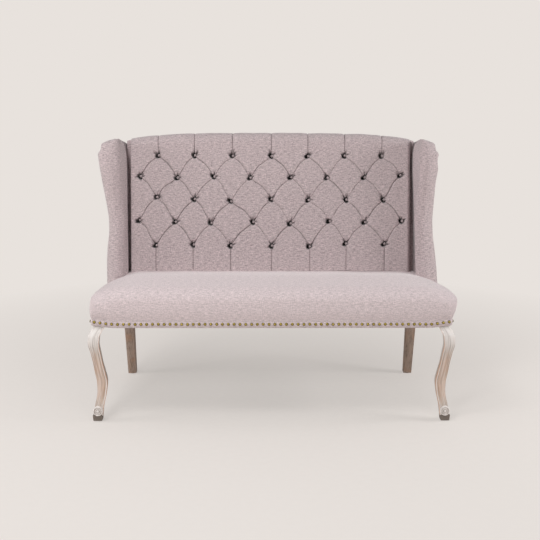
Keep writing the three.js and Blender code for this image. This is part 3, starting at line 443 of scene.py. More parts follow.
def linen(name, colour, contrast=1.0):
    """Plain woven linen-look cloth: uneven threads both ways, with lighter and darker flecks."""
    shade = Shading(name)
    weave = shade.weave()
    warp, weft, streaks, slubs, flecks, cloud = (
        shade.noise(shade.place(weave, (*scale, 1)), detail=detail, roughness=roughness)
        for scale, detail, roughness in (
            ((900, 110), 1.5, 0.5), ((110, 900), 1.5, 0.5), ((62, 300), 2.0, 0.6),
            ((300, 95), 2.0, 0.6), ((270, 270), 1.5, 0.6), ((14, 14), 3.0, 0.5),
        )
    )
    threads = shade.maths("MULTIPLY", shade.maths("ADD", warp, weft), 0.5)
    mottle = shade.maths("MULTIPLY_ADD", streaks, 0.45, shade.maths("MULTIPLY", slubs, 0.25))
    mottle = shade.maths("MULTIPLY_ADD", flecks, 0.3, mottle)
    swing = 0.42 * contrast
    light = tuple(min(1.0, level) for level in scaled(colour, 1 + swing))
    base = shade.mix(shade.levels(mottle, 0.38, 0.62), scaled(colour, 1 - swing), light)
    thread_dark = (1 - 0.24 * contrast,) * 3
    thread_tone = shade.mix(shade.levels(threads, 0.32, 0.6), thread_dark, (1.0, 1.0, 1.0))
    base = shade.mix(1.0, base, thread_tone, "MULTIPLY")
    base = shade.mix(shade.levels(cloud, 0.3, 0.7, 0.0, 0.14), base, scaled(colour, 0.86))
    # Painted shade: the cloth darkens where the piece's crease shade value marks its pits, wrinkles and
    # pleats
    crease_shade_mix = shade.maths("MULTIPLY", shade.value("crease"), 0.8)
    base = shade.mix(crease_shade_mix, base, scaled(colour, 0.12))
    over, under = (
        shade.named(
            shade.node("TexWave", wave_type="BANDS", bands_direction=way),
            Vector=weave, Scale=250.0, Distortion=1.2, Detail=1.0, Detail_Scale=1.5,
        ).outputs["Fac"] for way in "XY"
    )
    height = shade.maths("MULTIPLY_ADD", over, under, threads)
    shade.surface.inputs["Sheen Weight"].default_value = 0.35
    shade.surface.inputs["Sheen Roughness"].default_value = 0.5
    shade.surface.inputs["Specular IOR Level"].default_value = 0.25
    rough = shade.levels(flecks, 0.2, 0.8, 0.86, 0.98)
    return shade.done(Base_Color=base, Roughness=rough, Normal=shade.bump(height, 0.25 * MM, 0.5))


def limed_wood(name, colour, lime, worn, along_weave=True):
    """Limed oak: long grain with pale filler in its pores, browner where edges are rubbed."""
    shade = Shading(name)
    place = shade.weave() if along_weave else shade.solid()
    long_grain = (300, 11, 1) if along_weave else (300, 300, 9)
    wide_grain = (120, 7, 1) if along_weave else (60, 60, 2.6)
    grain = shade.noise(shade.place(place, long_grain), detail=4.0, roughness=0.62)
    figure = shade.noise(shade.place(place, wide_grain), detail=3.0)
    patches = shade.noise(place, 22.0, detail=2.0)
    dark = scaled(colour, 0.55)
    base = shade.mix(shade.levels(grain, 0.38, 0.56), dark, colour)
    base = shade.mix(shade.levels(figure, 0.42, 0.62, 0.0, 0.6), base, lime)
    if along_weave:
        rub = shade.maths("MULTIPLY", shade.value("rubbed"), shade.levels(patches, 0.3, 0.55, 0.5, 1.0))
        base = shade.mix(rub, base, worn)
        lime_grain = shade.levels(grain, 0.3, 0.5, 0.35, 1.0)
        base = shade.mix(shade.maths("MULTIPLY", shade.value("limed"), lime_grain), base, lime)
        # Darker by the foot value: all over the block under the scroll, on the scroll's back and rim, and as
        # painted shade in the scroll's grooves
        base = shade.mix(shade.value("foot"), base, scaled(colour, 0.32))
    else:
        base = shade.mix(shade.levels(patches, 0.5, 0.72, 0.0, 0.4), base, worn)
    normal = shade.bump(grain, 0.35 * MM, 0.6)
    rough = shade.levels(grain, 0.3, 0.7, 0.82, 0.62)
    shade.surface.inputs["Specular IOR Level"].default_value = 0.3
    return shade.done(Base_Color=base, Roughness=rough, Normal=normal)


def plain_wood(name, colour):
    """Planed hardwood of the hidden frame, with its grain along the board."""
    shade = Shading(name)
    place = shade.solid()
    grain = shade.noise(shade.place(place, (30, 300, 300)), detail=3.0)
    figure = shade.noise(place, 9.0, detail=2.0)
    base = shade.mix(shade.levels(grain, 0.35, 0.65), scaled(colour, 0.7), colour)
    base = shade.mix(shade.levels(figure, 0.4, 0.7, 0.0, 0.3), base, scaled(colour, 0.6))
    return shade.done(Base_Color=base, Roughness=0.7, Normal=shade.bump(grain, 0.2 * MM, 0.4))


def coarse_cloth(name, colour, pitch):
    """Open plain weave for webbing, hessian, foam and the dust cover."""
    shade = Shading(name)
    place = shade.solid()
    threads = [shade.noise(shade.place(place, scale), detail=1.0) for scale in
               ((1 / pitch, 0.1 / pitch, 0.1 / pitch), (0.1 / pitch, 1 / pitch, 1 / pitch))]
    height = shade.maths("MAXIMUM", *threads)
    base = shade.mix(shade.levels(height, 0.4, 0.7), scaled(colour, 0.55), colour)
    return shade.done(Base_Color=base, Roughness=0.95, Normal=shade.bump(height, 0.4 * MM, 0.7))


def aged_brass(name, colour):
    """Antiqued nail heads: a worn bright crown and a dark patina towards the rim."""
    shade = Shading(name)
    tarnish = shade.noise(shade.solid(), 420.0, detail=2.0)
    rim = shade.value("rim")
    dark = scaled(colour, 0.12)
    base = shade.mix(shade.levels(rim, 0.12, 0.62), colour, dark)
    base = shade.mix(shade.levels(tarnish, 0.45, 0.7, 0.0, 0.45), base, dark)
    rough = shade.levels(tarnish, 0.3, 0.7, 0.2, 0.36)
    return shade.done(Base_Color=base, Roughness=rough, Metallic=1.0)


def plated_steel(name, colour):
    shade = Shading(name)
    scuffs = shade.noise(shade.solid(), 300.0, detail=3.0)
    base = shade.mix(shade.levels(scuffs, 0.4, 0.7), colour, scaled(colour, 0.7))
    return shade.done(Base_Color=base, Roughness=shade.levels(scuffs, 0.3, 0.7, 0.3, 0.5), Metallic=1.0)


def moulded_nylon(name, colour):
    shade = Shading(name)
    grit = shade.noise(shade.solid(), 900.0, detail=2.0)
    base = shade.mix(shade.levels(grit, 0.4, 0.8, 0.0, 0.5), colour, scaled(colour, 1.6))
    return shade.done(Base_Color=base, Roughness=0.55, Normal=shade.bump(grit, 0.05 * MM, 0.5))


# Settings that a user would change

COLOUR = {"subtype": "COLOR", "size": 3, "min": 0, "max": 1}


class SeatSettings(bpy.types.PropertyGroup):
    cloth: FloatVectorProperty(
        name="Seat cloth", description="Colour of the seat's cloth",
        default=srgb(219, 204, 205), **COLOUR,
    )
    front_bulge: FloatProperty(
        name="Front bulge", description="How far the front face swells over the hem",
        unit="LENGTH", default=3.5 * MM,
    )
    roll_depth: FloatProperty(
        name="Roll depth", description="How far back the rounding of the top edge reaches",
        unit="LENGTH", default=66 * MM,
    )
    roll_height: FloatProperty(
        name="Roll height", description="How far down the rounding of the top edge reaches",
        unit="LENGTH", default=52 * MM,
    )
    unevenness: FloatProperty(
        name="Unevenness", description="Height of the soft hollows in the padding",
        unit="LENGTH", default=0.7 * MM,
    )
    lean: FloatProperty(
        name="Lean", description="How far the padding has worked over to the right at its edges",
        unit="LENGTH", default=12 * MM,
    )


class BackSettings(bpy.types.PropertyGroup):
    cloth: FloatVectorProperty(
        name="Back cloth", description="Colour of the back's and the wings' cloth",
        default=srgb(194, 178, 179), **COLOUR,
    )
    puff: FloatProperty(
        name="Puff", description="How far a diamond swells between its pleats",
        unit="LENGTH", default=1.8 * MM,
    )
    pleat_depth: FloatProperty(
        name="Pleat depth", description="Depth of the fold along a pleat",
        unit="LENGTH", default=6 * MM,
    )
    pit_depth: FloatProperty(
        name="Pit depth", description="How far a button draws the cloth in",
        unit="LENGTH", default=34 * MM,
    )
    pit_radius: FloatProperty(
        name="Pit radius", description="How wide the hollow round a button is",
        unit="LENGTH", default=9.8 * MM,
    )
    button_diameter: FloatProperty(
        name="Button diameter", description="Width of a covered button",
        unit="LENGTH", default=12 * MM,
    )
    button_height: FloatProperty(
        name="Button height", description="How far a covered button stands up from its middle",
        unit="LENGTH", default=9 * MM,
    )
    seed: IntProperty(name="Seed", description="Seed of the pleats' small differences", default=7)


class WingSettings(bpy.types.PropertyGroup):
    roll_depth: FloatProperty(
        name="Roll depth", description="How far back the wing's roll reaches at its two sides",
        unit="LENGTH", default=56 * MM,
    )


class NailSettings(bpy.types.PropertyGroup):
    brass: FloatVectorProperty(
        name="Brass", description="Colour of the nail heads",
        default=srgb(168, 148, 78), **COLOUR,
    )
    diameter: FloatProperty(
        name="Diameter", description="Width of a nail head", unit="LENGTH", default=11.4 * MM,
    )
    height: FloatProperty(
        name="Height", description="How far a nail head stands up", unit="LENGTH", default=4.6 * MM,
    )
    pitch: FloatProperty(
        name="Pitch", description="From one nail to the next", unit="LENGTH", default=20.9 * MM,
    )


class LegSettings(bpy.types.PropertyGroup):
    wood: FloatVectorProperty(
        name="Front leg wood", description="Colour of the limed front legs",
        default=srgb(206, 190, 177), **COLOUR,
    )
    lime: FloatVectorProperty(
        name="Lime", description="Colour of the pale filler in the grain",
        default=srgb(243, 238, 235), **COLOUR,
    )
    worn: FloatVectorProperty(
        name="Worn wood", description="Colour of the rubbed edges",
        default=srgb(212, 160, 124), **COLOUR,
    )
    rear_wood: FloatVectorProperty(
        name="Rear leg wood", description="Colour of the plain rear legs",
        default=srgb(178, 156, 142), **COLOUR,
    )


class StageSettings(bpy.types.PropertyGroup):
    floor: FloatVectorProperty(
        name="Floor", description="Colour of the floor",
        default=srgb(236, 229, 224), **COLOUR,
    )
    backdrop: FloatVectorProperty(
        name="Backdrop", description="Colour of the empty background",
        default=srgb(232, 226, 221), **COLOUR,
    )
    front_power: FloatProperty(name="Front light", description="Strength, in front on the left", default=36.0)
    high_power: FloatProperty(name="High light", description="Strength, above in front", default=27.0)
    fill_power: FloatProperty(name="Fill light", description="Strength, in front on the right", default=10.0)
    right_power: FloatProperty(name="Right light", description="Strength, on the right", default=30.0)
    left_power: FloatProperty(name="Left light", description="Strength, on the left", default=17.0)
    ambient: FloatProperty(name="Ambient", description="Strength of the light from all round", default=0.2)
    camera_distance: FloatProperty(
        name="Camera distance", description="From the camera to the seat's front face",
        unit="LENGTH", default=3.279602,
    )
    camera_height: FloatProperty(
        name="Camera height", description="Height of the camera over the floor",
        unit="LENGTH", default=1.217862,
    )
    camera_side: FloatProperty(
        name="Camera side", description="How far the camera stands to the right of the middle",
        unit="LENGTH", default=-0.042066,
    )
    camera_pitch: FloatProperty(
        name="Camera pitch", description="How far the camera looks down", subtype="ANGLE",
        default=math.radians(11.171),
    )
    camera_yaw: FloatProperty(
        name="Camera yaw", description="How far the camera looks to the right", subtype="ANGLE",
        default=math.radians(0.604),
    )
    camera_roll: FloatProperty(
        name="Camera roll", description="How far the camera leans", subtype="ANGLE",
        default=math.radians(-0.118),
    )
    camera_lens: FloatProperty(
        name="Camera lens", description="Focal length in millimetres on a 36 mm sensor", default=62.8,
    )


# The seat

def seat_half_width(y):
    return SEAT_FRONT_HALF + (SEAT_REAR_HALF - SEAT_FRONT_HALF) * np.asarray(y) / SEAT_DEPTH


def seat_top(y):
    keys = [(0, SEAT_FRONT_HEIGHT), (SEAT_CROWN_SHARE, SEAT_CROWN_HEIGHT), (1, SEAT_REAR_HEIGHT)]
    return eased(keys, np.clip(np.asarray(y) / BACK_FOOT_Y, 0, 1))


def side_fall(x, y):
    """How far the padding has settled towards the seat's sides."""
    share = np.clip((np.abs(x) / seat_half_width(y) - SIDE_FALL_START) / SIDE_FALL_RUN, 0, 1)
    front = SIDE_FALL_AT_FRONT + SIDE_FALL_GAIN * smoothstep(0.0, SIDE_FALL_GAIN_END, y)
    rear = 1 - SIDE_FALL_REAR_LOSS * smoothstep(*SIDE_FALL_REAR, y)
    return SEAT_SIDE_FALL * share ** SIDE_FALL_POWER * front * rear


def seat_surface(x, y):
    """Height of the seat's upholstered top, with its rounded side edges."""
    inside = np.clip((seat_half_width(y) - np.abs(x)) / SEAT_SIDE_ROLL, 0, 1)
    roll = SEAT_SIDE_ROLL * (1 - np.sqrt(1 - (1 - inside) ** 2))
    return seat_top(y) - side_fall(x, y) - roll


def hem_rise(x, y):
    side = seat_half_width(y)
    across = smoothstep(side - HEM_RISE_RUN, side, np.abs(x))
    along = 1 - smoothstep(0, HEM_RISE_RUN, y)
    return HEM_CORNER_RISE * across * along


def seat_outline(side_inset, end_inset, radius, front_steps=96, side_steps=30, corner_steps=8):
    """Plan outline of the seat, closed on itself, as points and outward directions."""
    y0, y1 = end_inset, SEAT_DEPTH - end_inset
    front = float(seat_half_width(y0 + radius)) - side_inset
    rear = float(seat_half_width(y1 - radius)) - side_inset
    corners = [
        (front - radius, y0 + radius, side_steps), (rear - radius, y1 - radius, front_steps),
        (radius - rear, y1 - radius, side_steps), (radius - front, y0 + radius, front_steps),
    ]
    points, ways = [], []
    for turn, (centre_x, centre_y, steps) in enumerate(corners):
        for angle in np.linspace(turn - 1, turn, corner_steps + 1) * math.pi / 2:
            way = (math.cos(angle), math.sin(angle))
            points.append((centre_x + radius * way[0], centre_y + radius * way[1]))
            ways.append(way)
        next_x, next_y = corners[(turn + 1) % len(corners)][:2]
        start, way = np.array(points[-1]), ways[-1]
        end = np.array((next_x + radius * way[0], next_y + radius * way[1]))
        for step in range(1, steps):
            points.append(tuple(start + (end - start) * step / steps))
            ways.append(way)
    points.append(points[0])
    ways.append(ways[0])
    return np.array(points), np.array(ways)


class SETTEE_OT_seat(bpy.types.Operator):
    """Upholsters the seat: front face, soft top edge, crowned top and turned hem"""
    bl_idname = "settee.seat"
    bl_label = "Seat"

    hem_radius = 8 * MM
    shoulder_radius = 16 * MM
    top_radius = 40 * MM
    turned_edge = 6 * MM
    roll_steps = 10
    face_steps = 8
    top_steps = 16
    top_gather = 0.8
    top_roundness = 0.8
    first_face_ring = 4
    cover_share = 0.8
    ripple_pitch = 0.17
    ripple_levels = (0.42, 0.5)
    ripple_front = 0.06
    lean_sides = (0.5, 0.65)
    left_lean = 0.4
    left_lean_fade = (0.14, 0.28)
    foam_roll = 56 * MM
    foam_drop = 0.8
    foam_clear = 7 * MM
    foam_side_clear = 3 * foam_clear
    foam_play = 1 * MM
    foam_cells = (61, 24)

    def rings(self, settings):
        """Rings of the seat's skin from the turned hem to the crown."""
        roll_depth, roll_height = settings.roll_depth, settings.roll_height
        hem = lambda x, y: HEM_HEIGHT + hem_rise(x, y)

        def shoulder(x, y, ways):
            height = SEAT_SIDE_ROLL + (roll_height - SEAT_SIDE_ROLL) * ways[:, 1] ** 2
            return seat_top(y) - side_fall(x, y) - height, height

        draw, edge = HEM_DRAW_IN, self.turned_edge
        rows = [
            (draw + edge, draw + edge, self.hem_radius, lambda x, y, ways: hem(x, y) + edge),
            (draw + edge / 2, draw + edge / 2, self.hem_radius, lambda x, y, ways: hem(x, y)),
            (draw, draw, self.hem_radius, lambda x, y, ways: hem(x, y) + edge / 3),
            (draw, draw, self.hem_radius, lambda x, y, ways: hem(x, y) + HEM_BAND_HEIGHT),
        ]
        for step in range(1, self.face_steps + 1):
            share = step / self.face_steps
            out = settings.front_bulge * math.sin(math.pi * share) + HEM_DRAW_IN * (share - 1)
            radius = self.hem_radius + (self.shoulder_radius - self.hem_radius) * share
            face = lambda x, y, ways, share=share: (
                (hem(x, y) + HEM_BAND_HEIGHT) * (1 - share) + shoulder(x, y, ways)[0] * share
            )
            rows.append((-out, -out, radius, face))
        for step in range(1, self.roll_steps + 1):
            angle = math.pi / 2 * step / self.roll_steps
            radius = self.shoulder_radius + (self.top_radius - self.shoulder_radius) * step / self.roll_steps
            turn = 1 - math.cos(angle)

            def rolled(x, y, ways, angle=angle):
                foot, height = shoulder(x, y, ways)
                return foot + height * math.sin(angle)

            rows.append((SEAT_SIDE_ROLL * turn, roll_depth * turn, radius, rolled))
        middle = SEAT_DEPTH / 2
        for step in range(1, self.top_steps + 1):
            share = (step / self.top_steps) ** self.top_gather
            ends = roll_depth + (middle - roll_depth) * share
            sides = SEAT_SIDE_ROLL + (middle - SEAT_SIDE_ROLL) * share
            radius = min(self.top_radius, (middle - ends) * self.top_roundness)
            rows.append((sides, ends, radius, lambda x, y, ways: seat_top(y) - side_fall(x, y)))
        return rows

    def execute(self, context):
        settings = context.scene.settee_seat
        rows, outlines = [], []
        for side_inset, end_inset, radius, height in self.rings(settings):
            outline, ways = seat_outline(side_inset, end_inset, max(radius, 0.0))
            x, y = outline[:, 0], np.clip(outline[:, 1], 0, SEAT_DEPTH)
            rows.append(stacked(x, outline[:, 1], height(x, y, ways)))
            outlines.append((outline, ways, end_inset))
        points = np.array(rows)
        face = points[self.first_face_ring]
        front = int(np.argmin(face[:, 1] + np.abs(face[:, 0])))
        lengths = np.concatenate([[0], np.cumsum(np.linalg.norm(np.diff(points[:, front], axis=0), axis=1))])
        top = next(i for i, (_, _, inset) in enumerate(outlines) if inset >= settings.roll_depth * 0.999)
        flat_outline, flat_ways, _ = outlines[top]
        cloth = [
            outline if i > top else flat_outline + flat_ways * (lengths[top] - lengths[i])
            for i, (outline, ways, _) in enumerate(outlines)
        ]
        self.settle_cloth(points, settings)
        points[:, :, 1] += FRONT_Y
        mesh = skin("seat_pad", points, np.array(cloth))
        self.open_well(mesh)
        welded(mesh, capped=False)
        piece = linked("seat_pad", mesh)
        with_modifier(piece, "SOLIDIFY", thickness=COVER_THICKNESS * self.cover_share, offset=-1.0)
        cloth = linen("seat_linen", tuple(settings.cloth), contrast=0.62)
        declared(piece, ["seat_cover"], cloth)
        foam = linked("seat_filling", self.foam(settings))
        pale = coarse_cloth("seat_foam", srgb(232, 222, 200), 3 * MM)
        declared(foam, ["seat_foam"], pale)
        return {"FINISHED"}

    def settle_cloth(self, points, settings):
        """Hand-made unevenness: soft hollows, and padding that leans to the right over the hem."""
        x, y, z = points[:, :, 0], points[:, :, 1], points[:, :, 2]
        above = smoothstep(HEM_HEIGHT + HEM_BAND_HEIGHT, SEAT_REAR_HEIGHT, z)
        soft = settings.unevenness * ripples(x, y + z, self.ripple_pitch, seed=3)
        points[:, :, 2] += soft * smoothstep(*self.ripple_levels, z)
        points[:, :, 1] += soft * above * (1 - smoothstep(0, self.ripple_front, y))
        lean = settings.lean * above * smoothstep(*self.lean_sides, np.abs(x))
        left = self.left_lean * (1 - smoothstep(*self.left_lean_fade, y))
        points[:, :, 0] += lean * np.where(x > 0, 1.0, left)

    def foam(self, settings):
        """The filling under the cover, cut to the same crown and sides."""
        clear, rear = self.foam_clear, BACK_FOOT_Y + PAD_REAR_DEPTH + self.foam_play
        foot = SEAT_WEBBING_TOP + FIT_GAP
        across, along = self.foam_cells
        shares = np.sin(np.linspace(-1, 1, across) * math.pi / 2)
        rows = []
        for y in clear + (rear - clear) * (1 - np.cos(np.linspace(0, 1, along) * math.pi)) / 2:
            x = shares * (seat_half_width(y) - self.foam_side_clear)
            ahead = np.clip(1 - (y - clear) / self.foam_roll, 0, 1)
            drop = self.foam_roll * self.foam_drop * (1 - math.sqrt(1 - ahead ** 2))
            z = np.maximum(seat_surface(x, y) - clear - drop, foot + self.foam_play)
            rows.append(stacked(np.r_[x, x[::-1], x[:1]], y, np.r_[z, 0 * z + foot, z[:1]]))
        points = np.array(rows)
        self.settle_cloth(points, settings)
        points[:, :, 1] += FRONT_Y
        return welded(skin("seat_filling", points, points[:, :, :2]))

    def open_well(self, mesh):
        """Takes out the cloth where the back's frame stands up through the seat."""
        front = FRONT_Y + BACK_FOOT_Y + PAD_REAR_DEPTH
        rear = FRONT_Y + SEAT_DEPTH - COVER_THICKNESS
        with edited(mesh) as shape:
            gone = []
            for face in shape.faces:
                middle = face.calc_center_median()
                if abs(middle.x) < POST_OUTER_X and front < middle.y < rear and middle.z > RAIL_TOP:
                    gone.append(face)
            bmesh.ops.delete(shape, geom=gone, context="FACES")


# The buttoned back

def arch(x):
    share = np.minimum(np.abs(x) / ARCH_HALF_WIDTH, 1.0)
    fall = 1 - (1 - share ** ARCH_POWER) ** (1 / ARCH_POWER)
    return BACK_HEIGHT - ARCH_FALL * fall


def side_drop(x):
    """How far the back's face falls away beside the wings, more sharply on the left."""
    left = np.asarray(x) < 0
    start = np.where(left, SIDE_DROP_START[0], SIDE_DROP_START[1])
    end = np.where(left, SIDE_DROP_END[0], SIDE_DROP_END[1])
    past = np.clip((np.abs(x) - start) / (end - start), 0, 1)
    return SIDE_DROP * (1 - np.sqrt(1 - past ** 2))


def button_places():
    """Middles of the buttons as (x, height), row by row from the seat upwards."""
    places = []
    for row, count in enumerate(BUTTON_ROWS):
        for index in range(count):
            x = (index - (count - 1) / 2) * BUTTON_PITCH
            places.append((x, FIRST_BUTTON_ROW + row * BUTTON_ROW_PITCH))
    return np.array(places)


def drift(x, s):
    """How far hand-set buttons have pulled the even pattern sideways and upwards."""
    across, up, total = np.zeros(x.shape), np.zeros(x.shape), np.full(x.shape, 1e-3)
    for (bx, bz), (dx, dz) in zip(button_places(), (pair for row in BUTTON_DRIFT for pair in row)):
        weight = np.exp(-((x - bx) ** 2 + (s - bz) ** 2) / (2 * DRIFT_REACH ** 2))
        across, up, total = across + weight * dx * MM, up + weight * dz * MM, total + weight
    across = across / total * (1 - smoothstep(*DRIFT_FADE, np.abs(x)))
    up = up / total * (1 - smoothstep(*DRIFT_FADE, np.abs(x)))
    return across, up * (1 - smoothstep(TOP_BUTTON_ROW, TOP_BUTTON_ROW + BUTTON_ROW_PITCH / 2, s))


def pleat_lines(rng):
    """Pleats as (start, end, strength): diagonals between buttons, and upright ones above and below."""
    half = BUTTON_PITCH / 2
    lines = []
    places = button_places()
    for x, z in places:
        for way in (-1, 1):
            end = (x + way * half, z + BUTTON_ROW_PITCH)
            if np.min(np.hypot(places[:, 0] - end[0], places[:, 1] - end[1])) < half / 4:
                lines.append(((x, z), end, float(rng.choice(PLEAT_STRENGTHS, p=PLEAT_CHANCES))))
    for x, z in places:
        if z > TOP_BUTTON_ROW - half / 4:
            lines.append(((x, z), (x, 2 * BACK_HEIGHT), rng.uniform(*PLEATS_ABOVE)))
        if z < FIRST_BUTTON_ROW + half / 4:
            lines.append(((x, z), (x, -BACK_HEIGHT), rng.uniform(*PLEATS_BELOW)))
    lowest_outer = FIRST_BUTTON_ROW + BUTTON_ROW_PITCH
    outer = (max(BUTTON_ROWS) - 1) * half
    second_outer = lowest_outer + 2 * BUTTON_ROW_PITCH
    for side, z, strength in ((1, lowest_outer, 0.6), (-1, lowest_outer, 0.18), (1, second_outer, 0.12)):
        lines.append(((side * outer, z), (side * ARCH_HALF_WIDTH, z - EDGE_PLEAT_FALL), strength))
    return lines


def tufting(x, s, settings):
    """How far the cloth lies below the padding's crown at flat places x and s, and how much shade is painted
    into its pits, wrinkles and pleats.
    """
    rng = np.random.default_rng(settings.seed)
    near, fold = np.full(x.shape, 1.0), np.zeros(x.shape)
    for (ax, az), (bx, bz), strength in pleat_lines(rng):
        along_x, along_z = bx - ax, bz - az
        share = ((x - ax) * along_x + (s - az) * along_z) / (along_x ** 2 + along_z ** 2)
        share = np.clip(share, 0, 1)
        off_x, off_z = x - ax - share * along_x, s - az - share * along_z
        distance = np.hypot(off_x, off_z)
        width = np.where(off_z < 0, *PLEAT_WIDTHS)
        fold = np.maximum(fold, settings.pleat_depth * strength * np.exp(-distance / width))
        near = np.minimum(near, distance + (1 - min(strength, 1.0)) * PUFF_LOSS * MM)
    puff = settings.puff * np.exp(-near / PUFF_REACH)
    pit, crease = np.zeros(x.shape), np.zeros(x.shape)
    for bx, bz in button_places():
        phase, count = rng.uniform(0, 2 * math.pi), rng.integers(*PULL_COUNTS)
        reach = np.hypot(x - bx, s - bz)
        angle = np.arctan2(s - bz, x - bx)
        fold = fold * smoothstep(*PLEAT_FADE, reach)
        off_x, off_s = PIT_SHIFT[0] + rng.uniform(-1, 1) * MM, PIT_SHIFT[1] + rng.uniform(-1, 1) * MM
        oval, cornered = PIT_UNEVEN
        uneven = 1 + oval * np.cos(2 * angle + phase) + cornered * np.cos(3 * angle - phase)
        inside = np.hypot(x - bx - off_x, s - bz - off_s) / (settings.pit_radius * uneven)
        hole = settings.pit_depth * rng.uniform(*PIT_DEPTHS) * np.exp(-inside ** PIT_STEEPNESS)
        slope = SLOPE_DEPTH * np.exp(-reach / SLOPE_REACH)
        pulls = np.zeros(x.shape)
        for turn in rng.uniform(*PULL_TURNS, count):
            along = (x - bx) * math.cos(turn) + (s - bz) * math.sin(turn)
            aside = np.abs((s - bz) * math.cos(turn) - (x - bx) * math.sin(turn))
            length = rng.uniform(*PULL_LENGTHS) * MM
            tapered = smoothstep(*PULL_START, along) * (1 - smoothstep(PULL_FADE, length, along))
            pull = rng.uniform(*PULL_DEPTHS) * MM * tapered * np.exp(-aside / PULL_WIDTH)
            pulls = np.maximum(pulls, pull)
        pit = np.maximum(pit, hole + slope + pulls)
        # Shade painted into the pits and the pulled wrinkles, full at their deepest
        crease = np.maximum(crease, np.clip((hole + pulls) / CREASE_SHADE_DEPTH, 0, 1))
    soft = RIPPLE * ripples(x, s, RIPPLE_PITCH, seed=settings.seed + 1)
    return puff + fold + pit + soft, np.maximum(crease, PLEAT_CREASE_SHADE * fold / settings.pleat_depth)


